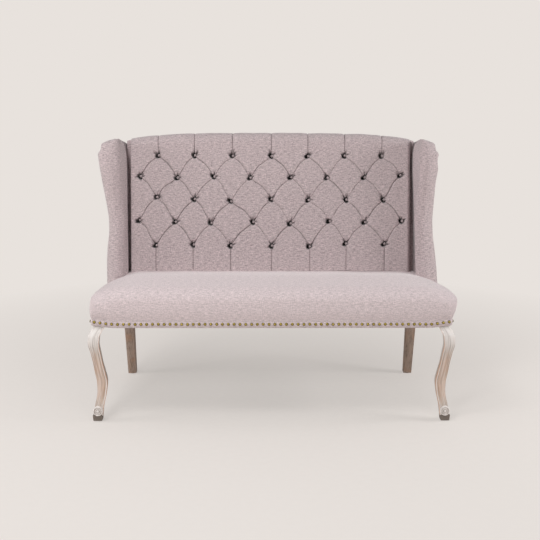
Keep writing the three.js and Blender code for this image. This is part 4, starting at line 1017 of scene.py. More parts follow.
class SETTEE_OT_back(bpy.types.Operator):
    """Makes the deep buttoned back, with its diamonds, pleats, pits and rolled top"""
    bl_idname = "settee.back"
    bl_label = "Buttoned back"

    cells = 30
    even_half = 7.2
    edge_cells = 36
    edge_gather = 0.85
    gather = 0.78
    gather_fade = (7.0, 7.7)
    bow = 10 * MM
    bow_fade = (6.6, 7.2)
    foot = -3 * MM
    face_steps = 12
    roll_steps = 14
    lip_steps = 7
    roll_loss = 0.86
    crown_drop = 3 * MM
    weave_step = (0, 0.05)

    def flat_grid(self):
        """Flat places, in half pitches and rows, whose rows and columns gather towards the pleats."""
        even = self.even_half
        inner = int(round(even * self.cells))
        u = np.arange(-inner, inner + 1) / self.cells
        edge = PAD_HALF_WIDTH / (BUTTON_PITCH / 2)
        outwards = np.arange(1, self.edge_cells + 1) / self.edge_cells
        beyond = even + (edge - even) * outwards ** self.edge_gather
        u = np.concatenate([-beyond[::-1], u, beyond])
        rows_up = len(BUTTON_ROWS) - 1
        low = np.arange(-round((FIRST_BUTTON_ROW - self.foot) / BUTTON_ROW_PITCH * self.cells), 0)
        w = np.concatenate([low, np.arange(rows_up * self.cells + 1)]) / self.cells
        u, w = np.meshgrid(u, w)
        gather = self.gather * (1 - smoothstep(*self.gather_fade, np.abs(u)))
        rising, falling = (u + w) / 2, (u - w) / 2
        rising = rising - gather * np.sin(2 * math.pi * rising) / (2 * math.pi)
        falling = falling - gather * np.sin(2 * math.pi * falling) / (2 * math.pi)
        outside = w < 0
        u2 = np.where(outside, u - gather * np.sin(math.pi * u) / math.pi, rising + falling)
        w2 = np.where(outside, w, rising - falling)
        return u2, w2

    def execute(self, context):
        settings = context.scene.settee_back
        u, w = self.flat_grid()
        x = np.clip(u * BUTTON_PITCH / 2, -PAD_HALF_WIDTH, PAD_HALF_WIDTH)
        s = FIRST_BUTTON_ROW + w * BUTTON_ROW_PITCH
        s = s - side_fall(x, BACK_FOOT_Y) * (1 - smoothstep(self.foot, FIRST_BUTTON_ROW, s))
        rows = [self.lean(row_x, row_s, settings) for row_x, row_s in zip(x, s)]
        flat = [stacked(row_x, row_s) for row_x, row_s in zip(x, s)]
        columns, foot, top_row = x[-1], s[0], s[-1]
        radius = BACK_ROLL_RADIUS * (1 - self.roll_loss * side_drop(columns) / SIDE_DROP)
        face_top = arch(columns) - radius
        for step in range(1, self.face_steps + 1):
            row_s = top_row + (face_top - top_row) * step / self.face_steps
            rows.append(self.lean(columns, row_s, settings))
            flat.append(stacked(columns, row_s))
        for step in range(1, self.roll_steps + self.lip_steps + 1):
            angle = math.pi / 2 * min(step / self.roll_steps, 1.0)
            past = max(0, step - self.roll_steps) / self.lip_steps
            row_s = face_top + radius * angle + past * (BACK_REAR_DEPTH - BACK_ROLL_RADIUS)
            rows.append(self.over(columns, row_s, radius, angle, past, settings))
            flat.append(stacked(columns, row_s))
        lip = arch(columns) - self.crown_drop - BACK_LIP_THICKNESS
        depths = (BACK_REAR_DEPTH, PAD_REAR_DEPTH, PAD_REAR_DEPTH, PAD_REAR_DEPTH)
        for depth, height in zip(depths, (lip, lip, (lip + foot) / 2, foot)):
            rows.append(stacked(columns, depth, height, 0.0))
            flat.append(flat[-1] + self.weave_step)
        rows.append(rows[0])
        flat.append(flat[-1] + self.weave_step)
        rows = np.array(rows)
        mesh = skin("tufted_back", placed(rows[:, :, :3], BACK_FRAME), np.array(flat))
        # The fourth value of each row is the shade painted into the creases, which the cloth's material reads
        vertex_values(mesh, crease=rows[:, :, 3])
        piece = linked("tufted_back", welded(mesh))
        declared(piece, ["tufted_back_cushion"], back_cloth(context))
        return {"FINISHED"}

    def warp(self, x, s):
        """Lets each pleat bow upwards between its buttons."""
        u, w = x / (BUTTON_PITCH / 2), (s - FIRST_BUTTON_ROW) / BUTTON_ROW_PITCH
        top = len(BUTTON_ROWS) - 1
        upright = smoothstep(-0.5, 0.0, w) * (1 - smoothstep(top, top + 0.5, w))
        inside = upright * (1 - smoothstep(*self.bow_fade, np.abs(u)))
        still = (np.cos(math.pi * (u + w) / 2) * np.cos(math.pi * (u - w) / 2)) ** 2
        return self.bow * (1 - still) * inside

    def lean(self, x, s, settings):
        """A row on the leaning face, with the shade painted into its creases at each place."""
        sunk, crease = tufting(x, s, settings)
        across, up = drift(x, s)
        return stacked(x + across, side_drop(x) + sunk, s + self.warp(x, s) + up, crease)

    def over(self, x, s, radius, angle, past, settings):
        """A row on the rounded top, where the upright pleats fade out towards the rear."""
        sunk, crease = (value * (1 - past) for value in tufting(x, s, settings))
        round_depth = side_drop(x) + radius * (1 - math.cos(angle))
        depth = round_depth + (BACK_REAR_DEPTH - round_depth) * past + sunk * math.cos(angle)
        height = arch(x) - radius * (1 - math.sin(angle)) - sunk * math.sin(angle) - self.crown_drop * past
        return stacked(x + drift(x, s)[0] * (1 - past), depth, height, crease)


def back_cloth(context):
    """The cloth that the back, its buttons, the wings and the outside back share."""
    found = bpy.data.materials.get("back_linen")
    return found or linen("back_linen", tuple(context.scene.settee_back.cloth), 1.0)


# What repeats: covered buttons and nails

STUD_INPUTS = (
    ("Geometry", "Geometry"), ("Diameter", "Float"), ("Height", "Float"), ("Tilt", "Float"),
    ("Seed", "Int"), ("Material", "Material"),
)
BALL_RADIUS = 0.5


def stud_tree(name, segments, rings):
    """A tree that sets a domed stud on every point, turned to face along its outward value."""
    tree = bpy.data.node_groups.new(name, "GeometryNodeTree")
    for title, kind in STUD_INPUTS:
        tree.interface.new_socket(title, in_out="INPUT", socket_type="NodeSocket" + kind)
    tree.interface.new_socket("Geometry", in_out="OUTPUT", socket_type="NodeSocketGeometry")
    nodes = Nodes(tree)
    add, node, named = nodes.add, nodes.node, nodes.named
    given = add("NodeGroupInput").outputs
    ball = named(add("GeometryNodeMeshUVSphere"), Segments=segments, Rings=rings, Radius=BALL_RADIUS)
    level = node("SeparateXYZ", add("GeometryNodeInputPosition").outputs["Position"]).outputs["Z"]
    rim = named(node("MapRange"), Value=level, From_Min=BALL_RADIUS, From_Max=0.0).outputs["Result"]
    head = named(
        add("GeometryNodeStoreNamedAttribute"), Geometry=ball.outputs["Mesh"], Name="rim", Value=rim,
    )
    outward = named(add("GeometryNodeInputNamedAttribute", data_type="FLOAT_VECTOR"), Name="outward")
    facing = named(add("FunctionNodeAlignRotationToVector"), Vector=outward.outputs["Attribute"])
    spread = node("CombineXYZ", given["Tilt"], given["Tilt"]).outputs["Vector"]
    opposite = named(node("VectorMath", spread, operation="SCALE"), Scale=-1.0).outputs["Vector"]
    lean = add("FunctionNodeRandomValue", data_type="FLOAT_VECTOR")
    named(lean, Min=opposite, Max=spread, Seed=given["Seed"])
    leaning = named(add("FunctionNodeEulerToRotation"), Euler=lean.outputs["Value"]).outputs["Rotation"]
    turned = named(
        add("FunctionNodeRotateRotation", rotation_space="LOCAL"),
        Rotation=facing.outputs["Rotation"], Rotate_By=leaning,
    )
    tall = nodes.maths("MULTIPLY", given["Height"], 1 / BALL_RADIUS)
    size = node("CombineXYZ", given["Diameter"], given["Diameter"], tall).outputs["Vector"]
    spots = named(
        add("GeometryNodeInstanceOnPoints"), Points=given["Geometry"], Instance=head.outputs["Geometry"],
        Rotation=turned.outputs["Rotation"], Scale=size,
    )
    real = named(add("GeometryNodeRealizeInstances"), Geometry=spots.outputs["Instances"])
    smooth = named(add("GeometryNodeSetShadeSmooth"), Geometry=real.outputs["Geometry"])
    paint = add("GeometryNodeSetMaterial")
    named(paint, Geometry=smooth.outputs["Geometry"], Material=given["Material"])
    named(add("NodeGroupOutput"), Geometry=paint.outputs["Geometry"])
    return tree


def studded(name, places, outwards, tree, **inputs):
    """A piece of studs at places, made by the tree and kept as a plain mesh."""
    mesh = bpy.data.meshes.new(name)
    mesh.from_pydata([tuple(place) for place in places], [], [])
    layer = mesh.attributes.new("outward", "FLOAT_VECTOR", "POINT")
    layer.data.foreach_set("vector", np.asarray(outwards, np.float32).reshape(-1))
    piece = linked(name, mesh)
    modifier = piece.modifiers.new("Studs", "NODES")
    modifier.node_group = tree
    for item in tree.interface.items_tree:
        if item.in_out == "INPUT" and item.name in inputs:
            modifier[item.identifier] = inputs[item.name]
    settle(piece)
    return piece


class SETTEE_OT_buttons(bpy.types.Operator):
    """Sets a covered button in each pit of the back"""
    bl_idname = "settee.buttons"
    bl_label = "Covered buttons"

    set_back = 20 * MM
    tilt = math.radians(12)
    wander = 0.8 * MM
    rightward = 2.2 * MM

    def execute(self, context):
        settings = context.scene.settee_back
        spots = button_places()
        depth = side_drop(spots[:, 0]) + self.set_back
        rng = np.random.default_rng(settings.seed + 2)
        spots = spots + np.column_stack(drift(spots[:, 0], spots[:, 1]))
        spots = spots + rng.uniform(-self.wander, self.wander, spots.shape) + (self.rightward, 0.6 * MM)
        places = placed(np.column_stack([spots[:, 0], depth, spots[:, 1]]), BACK_FRAME)
        outward = BACK_FRAME.to_3x3() @ Vector((0, -1, 0))
        tree = stud_tree("covered_buttons", segments=20, rings=10)
        piece = studded(
            "back_buttons", places, [outward] * len(places), tree, Diameter=settings.button_diameter,
            Height=settings.button_height, Tilt=self.tilt, Seed=settings.seed, Material=back_cloth(context),
        )
        self.wrap(piece)
        declared(piece)
        return {"FINISHED"}

    def wrap(self, piece):
        """Gives the buttons' cloth its coordinates, flat across each button."""
        mesh = piece.data
        layer = mesh.uv_layers.get("weave") or mesh.uv_layers.new(name="weave")
        places = np.array([mesh.vertices[loop.vertex_index].co for loop in mesh.loops])
        layer.data.foreach_set("uv", places[:, [0, 2]].astype(np.float32).reshape(-1))


# The nailed hem

# How far the end nail of each run lies from the seat's corner
FIRST_NAIL = 13.5 * MM


def hem_path(pitch):
    """Places along the hem as (x, y, outward x, outward y): the left side, the front, the right side."""
    lean = math.atan2(SEAT_FRONT_HALF - SEAT_REAR_HALF, SEAT_DEPTH)
    reach = SEAT_FRONT_HALF - HEM_DRAW_IN - FIRST_NAIL
    count = int(round(2 * reach / pitch))
    front = [(x, HEM_DRAW_IN, 0.0, -1.0) for x in np.linspace(-reach, reach, count + 1)]
    start = HEM_DRAW_IN + FIRST_NAIL
    right = [
        (float(seat_half_width(y)) - HEM_DRAW_IN, y, math.cos(lean), math.sin(lean))
        for y in (start + step * pitch for step in range(int((SEAT_DEPTH - 2 * start) / pitch) + 1))
    ]
    left = [(-x, y, -out_x, out_y) for x, y, out_x, out_y in reversed(right)]
    return [*left, *front, *right]


class SETTEE_OT_hem(bpy.types.Operator):
    """Lays the turned band of cloth along the hem and nails it"""
    bl_idname = "settee.hem"
    bl_label = "Nailed hem"

    band_section = [
        (-0.7, 0.0), (0.0, 0.0), (0.78, 0.17), (0.95, 0.33), (1.0, 0.5), (0.95, 0.67), (0.78, 0.83),
        (0.0, 1.0), (-0.7, 1.0),
    ]
    pinch_share = 0.3
    corner_radius = 8 * MM
    front_cells = 372
    side_cells = 150
    band_foot = 4.5 * MM
    band_height = 19 * MM
    band_thickness = 2.2 * MM
    band_sunk = 0.6 * MM
    nail_lift = 15 * MM
    nail_sunk = 0.4 * MM
    wander = 0.35 * MM
    tilt = math.radians(5)
    seeds = (11, 5)

    def execute(self, context):
        settings = context.scene.settee_nails
        rng = np.random.default_rng(self.seeds[0])
        places, outwards = [], []
        proud = self.band_thickness - self.nail_sunk
        for x, y, out_x, out_y in hem_path(settings.pitch):
            shift = rng.uniform(-self.wander, self.wander, 2)
            height = HEM_HEIGHT + self.nail_lift + float(hem_rise(x, y)) + shift[1]
            along = (-out_y * shift[0], out_x * shift[0])
            places.append((x + out_x * proud + along[0], y + out_y * proud + along[1] + FRONT_Y, height))
            outwards.append((out_x, out_y, 0.0))
        tree = stud_tree("hem_nails", segments=12, rings=8)
        nails = studded(
            "hem_nails", places, outwards, tree, Diameter=settings.diameter, Height=settings.height,
            Tilt=self.tilt, Seed=self.seeds[1], Material=aged_brass("aged_brass", tuple(settings.brass)),
        )
        declared(nails, ["nail_trim_front", "nail_trim_left", "nail_trim_right"])
        band = linked("hem_band", self.band(settings))
        declared(band, material=bpy.data.materials["seat_linen"])
        return {"FINISHED"}

    def band(self, settings):
        """A folded strip with soft edges, pinched a little at each nail."""
        outline, ways = seat_outline(
            HEM_DRAW_IN, HEM_DRAW_IN, self.corner_radius,
            front_steps=self.front_cells, side_steps=self.side_cells,
        )
        ahead = outline[:, 1] <= SEAT_DEPTH - HEM_DRAW_IN - 1 * MM
        start = int(np.argmax(np.hypot(*np.diff(outline[ahead], axis=0).T))) + 1
        path, out = (np.roll(part[ahead], -start, axis=0) for part in (outline, ways))
        rise = hem_rise(path[:, 0], path[:, 1])
        run = run_along(path)
        pinch = 0.5 + 0.5 * np.cos(2 * math.pi * run / settings.pitch)
        rows, weave = [], []
        for proud, level in self.band_section:
            soft = 1 - self.pinch_share * pinch if proud > 0 else 1 + 0 * pinch
            depth = self.band_thickness * proud * soft - self.band_sunk
            height = HEM_HEIGHT + self.band_foot + self.band_height * level + rise
            rows.append(np.column_stack([path + out * depth[:, None], height]))
            weave.append(stacked(run, self.band_height * level))
        points = np.array([*rows, rows[0]])
        points[:, :, 1] += FRONT_Y
        return welded(skin("hem_band", points, np.array([*weave, weave[0]])))


# The wings

WING_FOOT = 0.425
WING_LEVEL = 0.447
WING_TOP = 1.004
WING_OUTER = {
    "left": [
        (0.425, 0.655), (0.437, 0.655), (0.517, 0.656), (0.577, 0.6535), (0.62, 0.6485), (0.645, 0.6465),
        (0.697, 0.6485), (0.74, 0.6545), (0.783, 0.6615), (0.868, 0.6745), (0.912, 0.681), (0.9437, 0.6855),
        (0.947, 0.6855), (0.954, 0.680), (0.960, 0.6755), (0.966, 0.673), (0.975, 0.673), (0.983, 0.6715),
        (0.987, 0.666), (0.991, 0.658), (0.995, 0.649), (0.999, 0.638), (1.0015, 0.629), (1.003, 0.620),
        (1.004, 0.610),
    ],
    "right": [
        (0.425, 0.671), (0.437, 0.670), (0.477, 0.6675), (0.557, 0.6595), (0.618, 0.6515), (0.678, 0.6492),
        (0.759, 0.6533), (0.841, 0.658), (0.870, 0.663), (0.8875, 0.6660), (0.900, 0.6640), (0.9216, 0.662),
        (0.937, 0.6645), (0.9454, 0.668), (0.950, 0.666), (0.957, 0.6585), (0.9613, 0.6555), (0.970, 0.6535),
        (0.980, 0.652), (0.986, 0.650), (0.990, 0.6463), (0.9945, 0.634), (0.999, 0.622), (1.002, 0.611),
        (1.004, 0.602),
    ],
}
# Foot of the wing's inner wall, at the back's face
WING_BASE = {
    "left": [
        (0.425, 0.576), (0.466, 0.5765), (0.629, 0.578), (0.751, 0.5795), (0.873, 0.580), (0.935, 0.582),
        (0.954, 0.5846), (0.979, 0.590), (0.992, 0.5965), (1.0, 0.602), (1.004, 0.606),
    ],
    "right": [
        (0.425, 0.592), (0.466, 0.591), (0.63, 0.584), (0.752, 0.5815), (0.894, 0.5765), (0.955, 0.5775),
        (0.988, 0.584), (0.997, 0.591), (1.004, 0.598),
    ],
}
# Ridge where the inner wall turns into the padded front
WING_RIDGE = {
    "left": [(0.425, 0.596), (0.525, 0.595), (0.68, 0.588), (0.80, 0.598), (0.925, 0.6035), (1.004, 0.606)],
    "right": [(0.425, 0.586), (0.525, 0.584), (0.68, 0.582), (0.80, 0.590), (0.925, 0.5965), (1.004, 0.598)],
}
WING_TOP_X = {"left": 0.609, "right": 0.601}
WING_TOP_FALL = 0.024
# The padded front from the ridge to the outer edge: share of the width, share of the depth
WING_SECTION = [
    (0.0, 0.24), (0.08, 0.12), (0.19, 0.04), (0.33, 0.0), (0.48, 0.03), (0.64, 0.11), (0.8, 0.24),
    (0.93, 0.44), (0.99, 0.72), (1.0, 1.0),
]
WING_REACH = [(0, 0.088), (0.42, 0.082), (0.86, 0.118), (1, 0.118)]


def back_plane(depth, z):
    """Where a plane parallel to the back's face stands at a height, in the seat's frame."""
    return BACK_FOOT_Y + (depth + (z - BACK_FOOT_Z) * math.sin(RECLINE)) / math.cos(RECLINE)


class SETTEE_OT_wings(bpy.types.Operator):
    """Pads the two wings: a soft leaning roll in front, flat outside, domed on top"""
    bl_idname = "settee.wings"
    bl_label = "Wings"

    section_steps = 64
    bead = 3 * MM
    wall_belly = 10 * MM
    side_steps = 8
    ring_count = 84
    dome_rings = 26
    dome = 52 * MM
    foot_blend = 0.13
    front_easing = 30 * MM
    panel_x = 0.636
    panel_share = 0.7
    inner_x = PAD_HALF_WIDTH + 0.5 * MM
    outer_rounding = 2.5 * MM
    inner_rounding = 8 * MM
    roll_at_top = (0.35, 0.65)
    wall_step = 2 * MM
    wall_behind = 38 * MM
    wall_near = 6 * MM
    belly_behind = 45 * MM
    belly_depth = 0.8
    ridge_inset = 6 * MM
    ridge_depth = 0.46
    top_inset = 4 * MM
    shelf_depth = 46 * MM
    shelf_steps = 4
    foot_sunk = 4 * MM
    seam_steps = 3
    ripple = 0.9
    ripple_pitch = 0.1
    seeds = {"left": 21, "right": 22}

    def heights(self):
        straight = WING_TOP - self.dome
        levels = list(np.linspace(WING_FOOT, straight, self.ring_count - self.dome_rings))
        for share in np.sin(np.linspace(0, 1, self.dome_rings + 1)[1:] * math.pi / 2):
            levels.append(straight + self.dome * share)
        return np.array(levels)

    def ring(self, z, side, settings):
        """One ring of the wing: inner wall, padded front, outside and the shelf behind the back's cloth."""
        outer = softened(WING_OUTER[side], z, self.outer_rounding)
        base = softened(WING_BASE[side], z, self.inner_rounding)
        ridge = softened(WING_RIDGE[side], z, self.inner_rounding)
        share = max(0.0, z - WING_LEVEL) / (WING_TOP - WING_LEVEL)
        past = max(0.0, z - (WING_TOP - self.dome)) / self.dome
        dome = math.sqrt(max(0.0, 1 - past ** 2))
        top_x = WING_TOP_X[side]
        panel = top_x + (self.panel_x - top_x) * dome
        back_face, rear = float(back_plane(0, z)), float(back_plane(BACK_REAR_DEPTH, z))
        front = back_face - float(eased(WING_REACH, share)) + self.front_easing * (1 - dome)
        deep = settings.roll_depth * (self.roll_at_top[0] + self.roll_at_top[1] * dome)
        bead = self.bead * dome
        belly = min(base + self.wall_belly, ridge - self.wall_step)
        wall = [
            (base + self.wall_step, back_face + self.wall_behind),
            (base + 0.4 * bead, back_face + self.wall_near),
            (base, back_face - bead),
            (base + 0.9 * bead, back_face - 2.4 * bead),
            ((base + belly) / 2 + 0.4 * bead, (back_face + front + self.belly_behind) / 2),
            (belly, front + self.belly_depth * deep),
            (ridge - self.ridge_inset * dome, front + self.ridge_depth * deep),
        ]
        section = [(ridge + (outer - ridge) * u, front + deep * v) for u, v in WING_SECTION]
        ring = [tuple(point) for point in through(wall + section, self.section_steps)]
        inside = top_x - self.top_inset + (self.inner_x - top_x + self.top_inset) * dome
        (first_x, first_y), (start_x, start_y) = ring[0], ring[-1]
        mid_x = outer + (panel - outer) * self.panel_share
        rear_x = max(panel, inside + self.wall_step)
        shares = [step / self.side_steps for step in range(1, self.side_steps + 1)]
        for t in shares:
            easing = float(smoothstep(0, 1, t))
            ring.append((start_x + (mid_x - start_x) * easing, start_y + (back_face - start_y) * t))
        for t in shares:
            ring.append((mid_x + (rear_x - mid_x) * t, back_face + (rear - back_face) * t))
        shelf = float(back_plane(self.shelf_depth, z))
        ring += [(inside, rear), (inside, shelf)]
        for step in range(1, self.shelf_steps + 1):
            t = step / self.shelf_steps
            ring.append((inside + (first_x - inside) * t, shelf + (first_y - shelf) * t))
        x, y = np.array(ring).T
        fall = WING_TOP_FALL * share ** 2 * np.clip((y - front - deep) / (rear - front - deep), 0, 1)
        y = y - fall * math.tan(RECLINE)
        foot = np.maximum(seat_surface(x, y) - self.foot_sunk, WING_FOOT)
        sunk = np.clip((WING_FOOT + self.foot_blend - z) / self.foot_blend, 0, 1)
        return stacked(x, y + FRONT_Y, z - fall + (foot - WING_FOOT) * sunk)

    def execute(self, context):
        settings = context.scene.settee_wings
        for side in ("left", "right"):
            rows = np.array([self.ring(z, side, settings) for z in self.heights()])
            steps = np.linalg.norm(np.diff(rows, axis=1), axis=2)
            around = np.concatenate([np.zeros((len(rows), 1)), np.cumsum(steps, axis=1)], axis=1)
            weave = stacked(around, rows[:, :, 2])
            still = np.minimum(1.0, np.arange(rows.shape[1]) / self.seam_steps)
            soft = ripples(rows[:, :, 0], rows[:, :, 2], self.ripple_pitch, seed=self.seeds[side])
            rows[:, :, 1] += still * self.ripple * MM * soft
            rows[:, -1] = rows[:, 0]
            mesh = skin("wing_" + side, rows, weave)
            if side == "left":
                mesh.transform(Matrix.Scale(-1, 4, (1, 0, 0)))
            piece = linked("wing_" + side, welded(mesh))
            declared(piece, ["wing_upholstery_" + side], back_cloth(context))
        return {"FINISHED"}


# The front legs

LEG_TOP = 0.3617
LEG_FOOT = 0.0028
LEG_TOP_X = 0.62174
LEG_TOP_Y = 0.03382
# Share of the height, millimetres outwards and forwards of the top, half width in millimetres
LEG_KEYS = [
    (0.0, 15, 6, 16.5), (0.15, 10.5, 1, 17), (0.28, 0.6, -5, 17.4), (0.40, -1.4, -9, 19.8),
    (0.5, 4.2, -5, 19.6), (0.61, 10.5, 2, 18), (0.72, 16.5, 9, 18.8), (0.82, 22, 15, 20.6),
    (0.9, 19.5, 14, 21.3), (1.0, 0, 0, 20.5),
]
# Front of the section from its beaded inner corner to the outer one, as shares of the half width
LEG_SECTION = [
    (-1.0, 0.84), (-0.98, 1.03), (-0.78, 1.05), (-0.7, 0.92), (-0.55, 0.98), (0.4, 1.0), (0.78, 0.92),
]
LEG_ARRIS = [(0.9, 0.9)]
LEG_HEEL = [(0.2, -0.94), (-0.86, -0.86), (-0.94, 0.2)]
# The scroll's profile as shares of its radius and millimetres forwards of the foot's middle or front
SCROLL_BACK = [(0, -16.5), (0.9, -16.5), (1, -14.5)]
SCROLL_FACE = [
    (1, -0.5), (0.97, 1.6), (0.9, 2.5), (0.8, 2.4), (0.73, 0.8), (0.66, 0.2), (0.58, 1.4), (0.5, 1.9),
    (0.42, 1.3), (0.36, 0.3), (0.3, 1.2), (0.2, 2.3), (0, 2.8),
]


class SETTEE_OT_front_legs(bpy.types.Operator):
    """Carves the cabriole front legs, with a bead, a scroll at the foot and a block under it"""
    bl_idname = "settee.front_legs"
    bl_label = "Front legs"

    rings = 72
    section_step = 0.22
    scroll_segments = 40
    foot_half = 16.5 * MM
    foot_height = 22 * MM
    scroll_radius = 18 * MM
    scroll_out = -2 * MM
    scroll_ahead = 3.5 * MM
    block_out = 2
    top_half = 21 * MM
    top_shift = 21.5 * MM
    bead_reach = 1.05

    def section(self):
        """The leg's closed section as shares of its half width, in short steps."""
        side = [(v, u) for u, v in reversed(LEG_SECTION)]
        corners = [*LEG_SECTION, *LEG_ARRIS, *side, *LEG_HEEL, LEG_SECTION[0]]
        shares = []
        for (u0, v0), (u1, v1) in zip(corners, corners[1:]):
            steps = max(1, int(math.hypot(u1 - u0, v1 - v0) / self.section_step))
            for step in range(steps):
                t = step / steps
                shares.append((u0 + (u1 - u0) * t, v0 + (v1 - v0) * t))
        return np.array([*shares, shares[0]])

    def leg(self):
        height = LEG_TOP - LEG_FOOT
        sizes = through([(0, half * MM, share * height) for share, _, _, half in LEG_KEYS], self.rings)
        swings = through([(out * MM, forward * MM, 0) for _, out, forward, _ in LEG_KEYS], self.rings)
        clear = sizes[:, 2] > self.foot_height - 2 * MM
        sizes, swings = sizes[clear], swings[clear]
        section = self.section()
        u, v = section.T
        around = run_along(section) * 18 * MM
        rows, weave = [], []
        for (_, half, level), (out, forward, _) in zip(sizes, swings):
            x, y = LEG_TOP_X + out + u * half, LEG_TOP_Y - forward - v * half
            rows.append(stacked(x, y + FRONT_Y, LEG_FOOT + level))
            weave.append(stacked(around, LEG_FOOT + level))
        mesh = skin("leg", np.array(rows), np.array(weave))
        share = np.repeat((sizes[:, 2] / height)[:, None], len(section), axis=1)
        bead = (u < -0.72) & (v > 0.8)
        edge = np.hypot(u + 1.0, v - 0.9) < 0.16
        front = (v > 0.8) & (u > -0.6)
        ends = smoothstep(0.68, 0.92, share) + 0.9 * (1 - smoothstep(0.05, 0.16, share))
        middle = smoothstep(0.12, 0.3, share) * (1 - smoothstep(0.6, 0.8, share))
        limed = np.where(bead & ~edge, 0.95, np.where(front, 0.85 * ends, 0.5 * ends))
        rubbed = np.where(edge, 0.9, np.where(front, 0.34 * middle, 0.1 * middle))
        vertex_values(mesh, limed=limed, rubbed=rubbed, foot=0.0)
        return welded(mesh)

    def scroll(self, centre):
        """The round scroll at the foot, turned about a line that runs forwards."""
        angles = np.linspace(0, 2 * math.pi, self.scroll_segments + 1)
        profile = [(self.scroll_radius * share, level * MM) for share, level in SCROLL_BACK]
        profile += [(self.scroll_radius * share, self.foot_half + level * MM) for share, level in SCROLL_FACE]
        x, y, z = centre
        points = np.array([
            stacked(x + r * np.cos(angles), y - forward + FRONT_Y, z + r * np.sin(angles))
            for r, forward in profile
        ])
        mesh = skin("scroll", points, points[:, :, [0, 2]])
        radii, levels = np.repeat(profile, len(angles), axis=0).T
        share = radii / self.scroll_radius
        # Painted shade in the scroll's two grooves: less lime and a darker tone; the scroll's back and rim
        # are darker and rubbed as well
        groove = (np.abs(share - 0.68) < 0.06) | (np.abs(share - 0.36) < 0.07)
        outer = levels < 0.95 * self.foot_half
        vertex_values(
            mesh, limed=np.where(groove, 0.15, 0.8), rubbed=np.where(outer, 0.5, 0.0),
            foot=np.where(groove | outer, 0.22, 0.0),
        )
        return welded(mesh)

    def block(self, x, y, half_low, half_high, z0, z1, foot, bevel=1.2 * MM):
        """A square block with eased edges, wider or narrower at its top."""
        rows, weave = [], []
        low = [(z0, half_low - bevel), (z0 + bevel, half_low)]
        high = [(z1 - bevel, half_high), (z1, half_high - bevel)]
        for z, half in low + high:
            ring = []
            for turn, (way_x, way_y) in enumerate(((1, -1), (1, 1), (-1, 1), (-1, -1))):
                for bend in range(4):
                    angle = math.pi / 2 * (turn - 1 + bend / 3)
                    ring.append((
                        x + way_x * (half - bevel) + bevel * math.cos(angle),
                        y + way_y * (half - bevel) + bevel * math.sin(angle),
                    ))
            ring = np.array([*ring, ring[0]])
            rows.append(stacked(ring[:, 0], ring[:, 1] + FRONT_Y, z))
            weave.append(stacked(run_along(ring), z))
        mesh = skin("block", np.array(rows), np.array(weave))
        vertex_values(mesh, limed=0.0, rubbed=0.0, foot=foot)
        return welded(mesh)

    def execute(self, context):
        settings = context.scene.settee_legs
        wood = limed_wood("limed_oak", tuple(settings.wood), tuple(settings.lime), tuple(settings.worn))
        _, out, forward, _ = LEG_KEYS[0]
        foot_x, foot_y = LEG_TOP_X + (out + self.block_out) * MM, LEG_TOP_Y - forward * MM
        foot_top = LEG_FOOT + self.foot_height
        centre = (foot_x + self.scroll_out, foot_y - self.scroll_ahead, foot_top + self.scroll_radius * 0.9)
        half = self.foot_half
        top_half = self.top_half
        top_x = LEG_TOP_X - self.bead_reach * LEG_KEYS[-1][3] * MM + self.top_shift
        right = joined("carved_leg_right", [
            self.leg(), self.scroll(centre),
            self.block(foot_x, foot_y, half - 0.5 * MM, half + 1 * MM, LEG_FOOT, foot_top, foot=1.0),
            self.block(top_x, LEG_TOP_Y, top_half, top_half, LEG_TOP - FIT_GAP, RAIL_TOP, foot=0.0),
        ])
        smoothed(right)
        for side, mesh in (("right", right), ("left", mirrored(right))):
            mesh.set_sharp_from_angle(angle=math.radians(38))
            piece = linked("carved_leg_" + side, mesh)
            declared(piece, ["front_leg_" + side], wood)
        return {"FINISHED"}


# The rear legs and what is left of the model's own pieces

def eased_copy(name, node, bevel, angle=math.radians(30)):
    """A copy of a model's node with its flats made whole and its edges eased."""
    mesh = frame["nodes"][node].data.copy()
    mesh.name = name
    with edited(mesh) as shape:
        bmesh.ops.remove_doubles(shape, verts=shape.verts, dist=0.01 * MM)
        bmesh.ops.dissolve_limit(shape, angle_limit=math.radians(1), verts=shape.verts, edges=shape.edges)
    piece = linked(name, mesh)
    with_modifier(
        piece, "BEVEL", width=bevel, segments=2, limit_method="ANGLE", angle_limit=angle,
        use_clamp_overlap=True,
    )
    smoothed(piece.data).set_sharp_from_angle(angle=angle)
    return piece


class SETTEE_OT_rear_legs(bpy.types.Operator):
    """Eases the edges of the raked rear legs and gives them their wood"""
    bl_idname = "settee.rear_legs"
    bl_label = "Rear legs"

    bevel = 1.6 * MM

    def execute(self, context):
        settings = context.scene.settee_legs
        wood = limed_wood(
            "rear_oak", tuple(settings.rear_wood), scaled(settings.rear_wood, 1.2),
            scaled(settings.worn, 0.8), along_weave=False,
        )
        for side in ("left", "right"):
            piece = eased_copy("rear_leg_" + side, "rear_post_" + side, self.bevel)
            declared(piece, ["rear_post_" + side], wood)
        return {"FINISHED"}


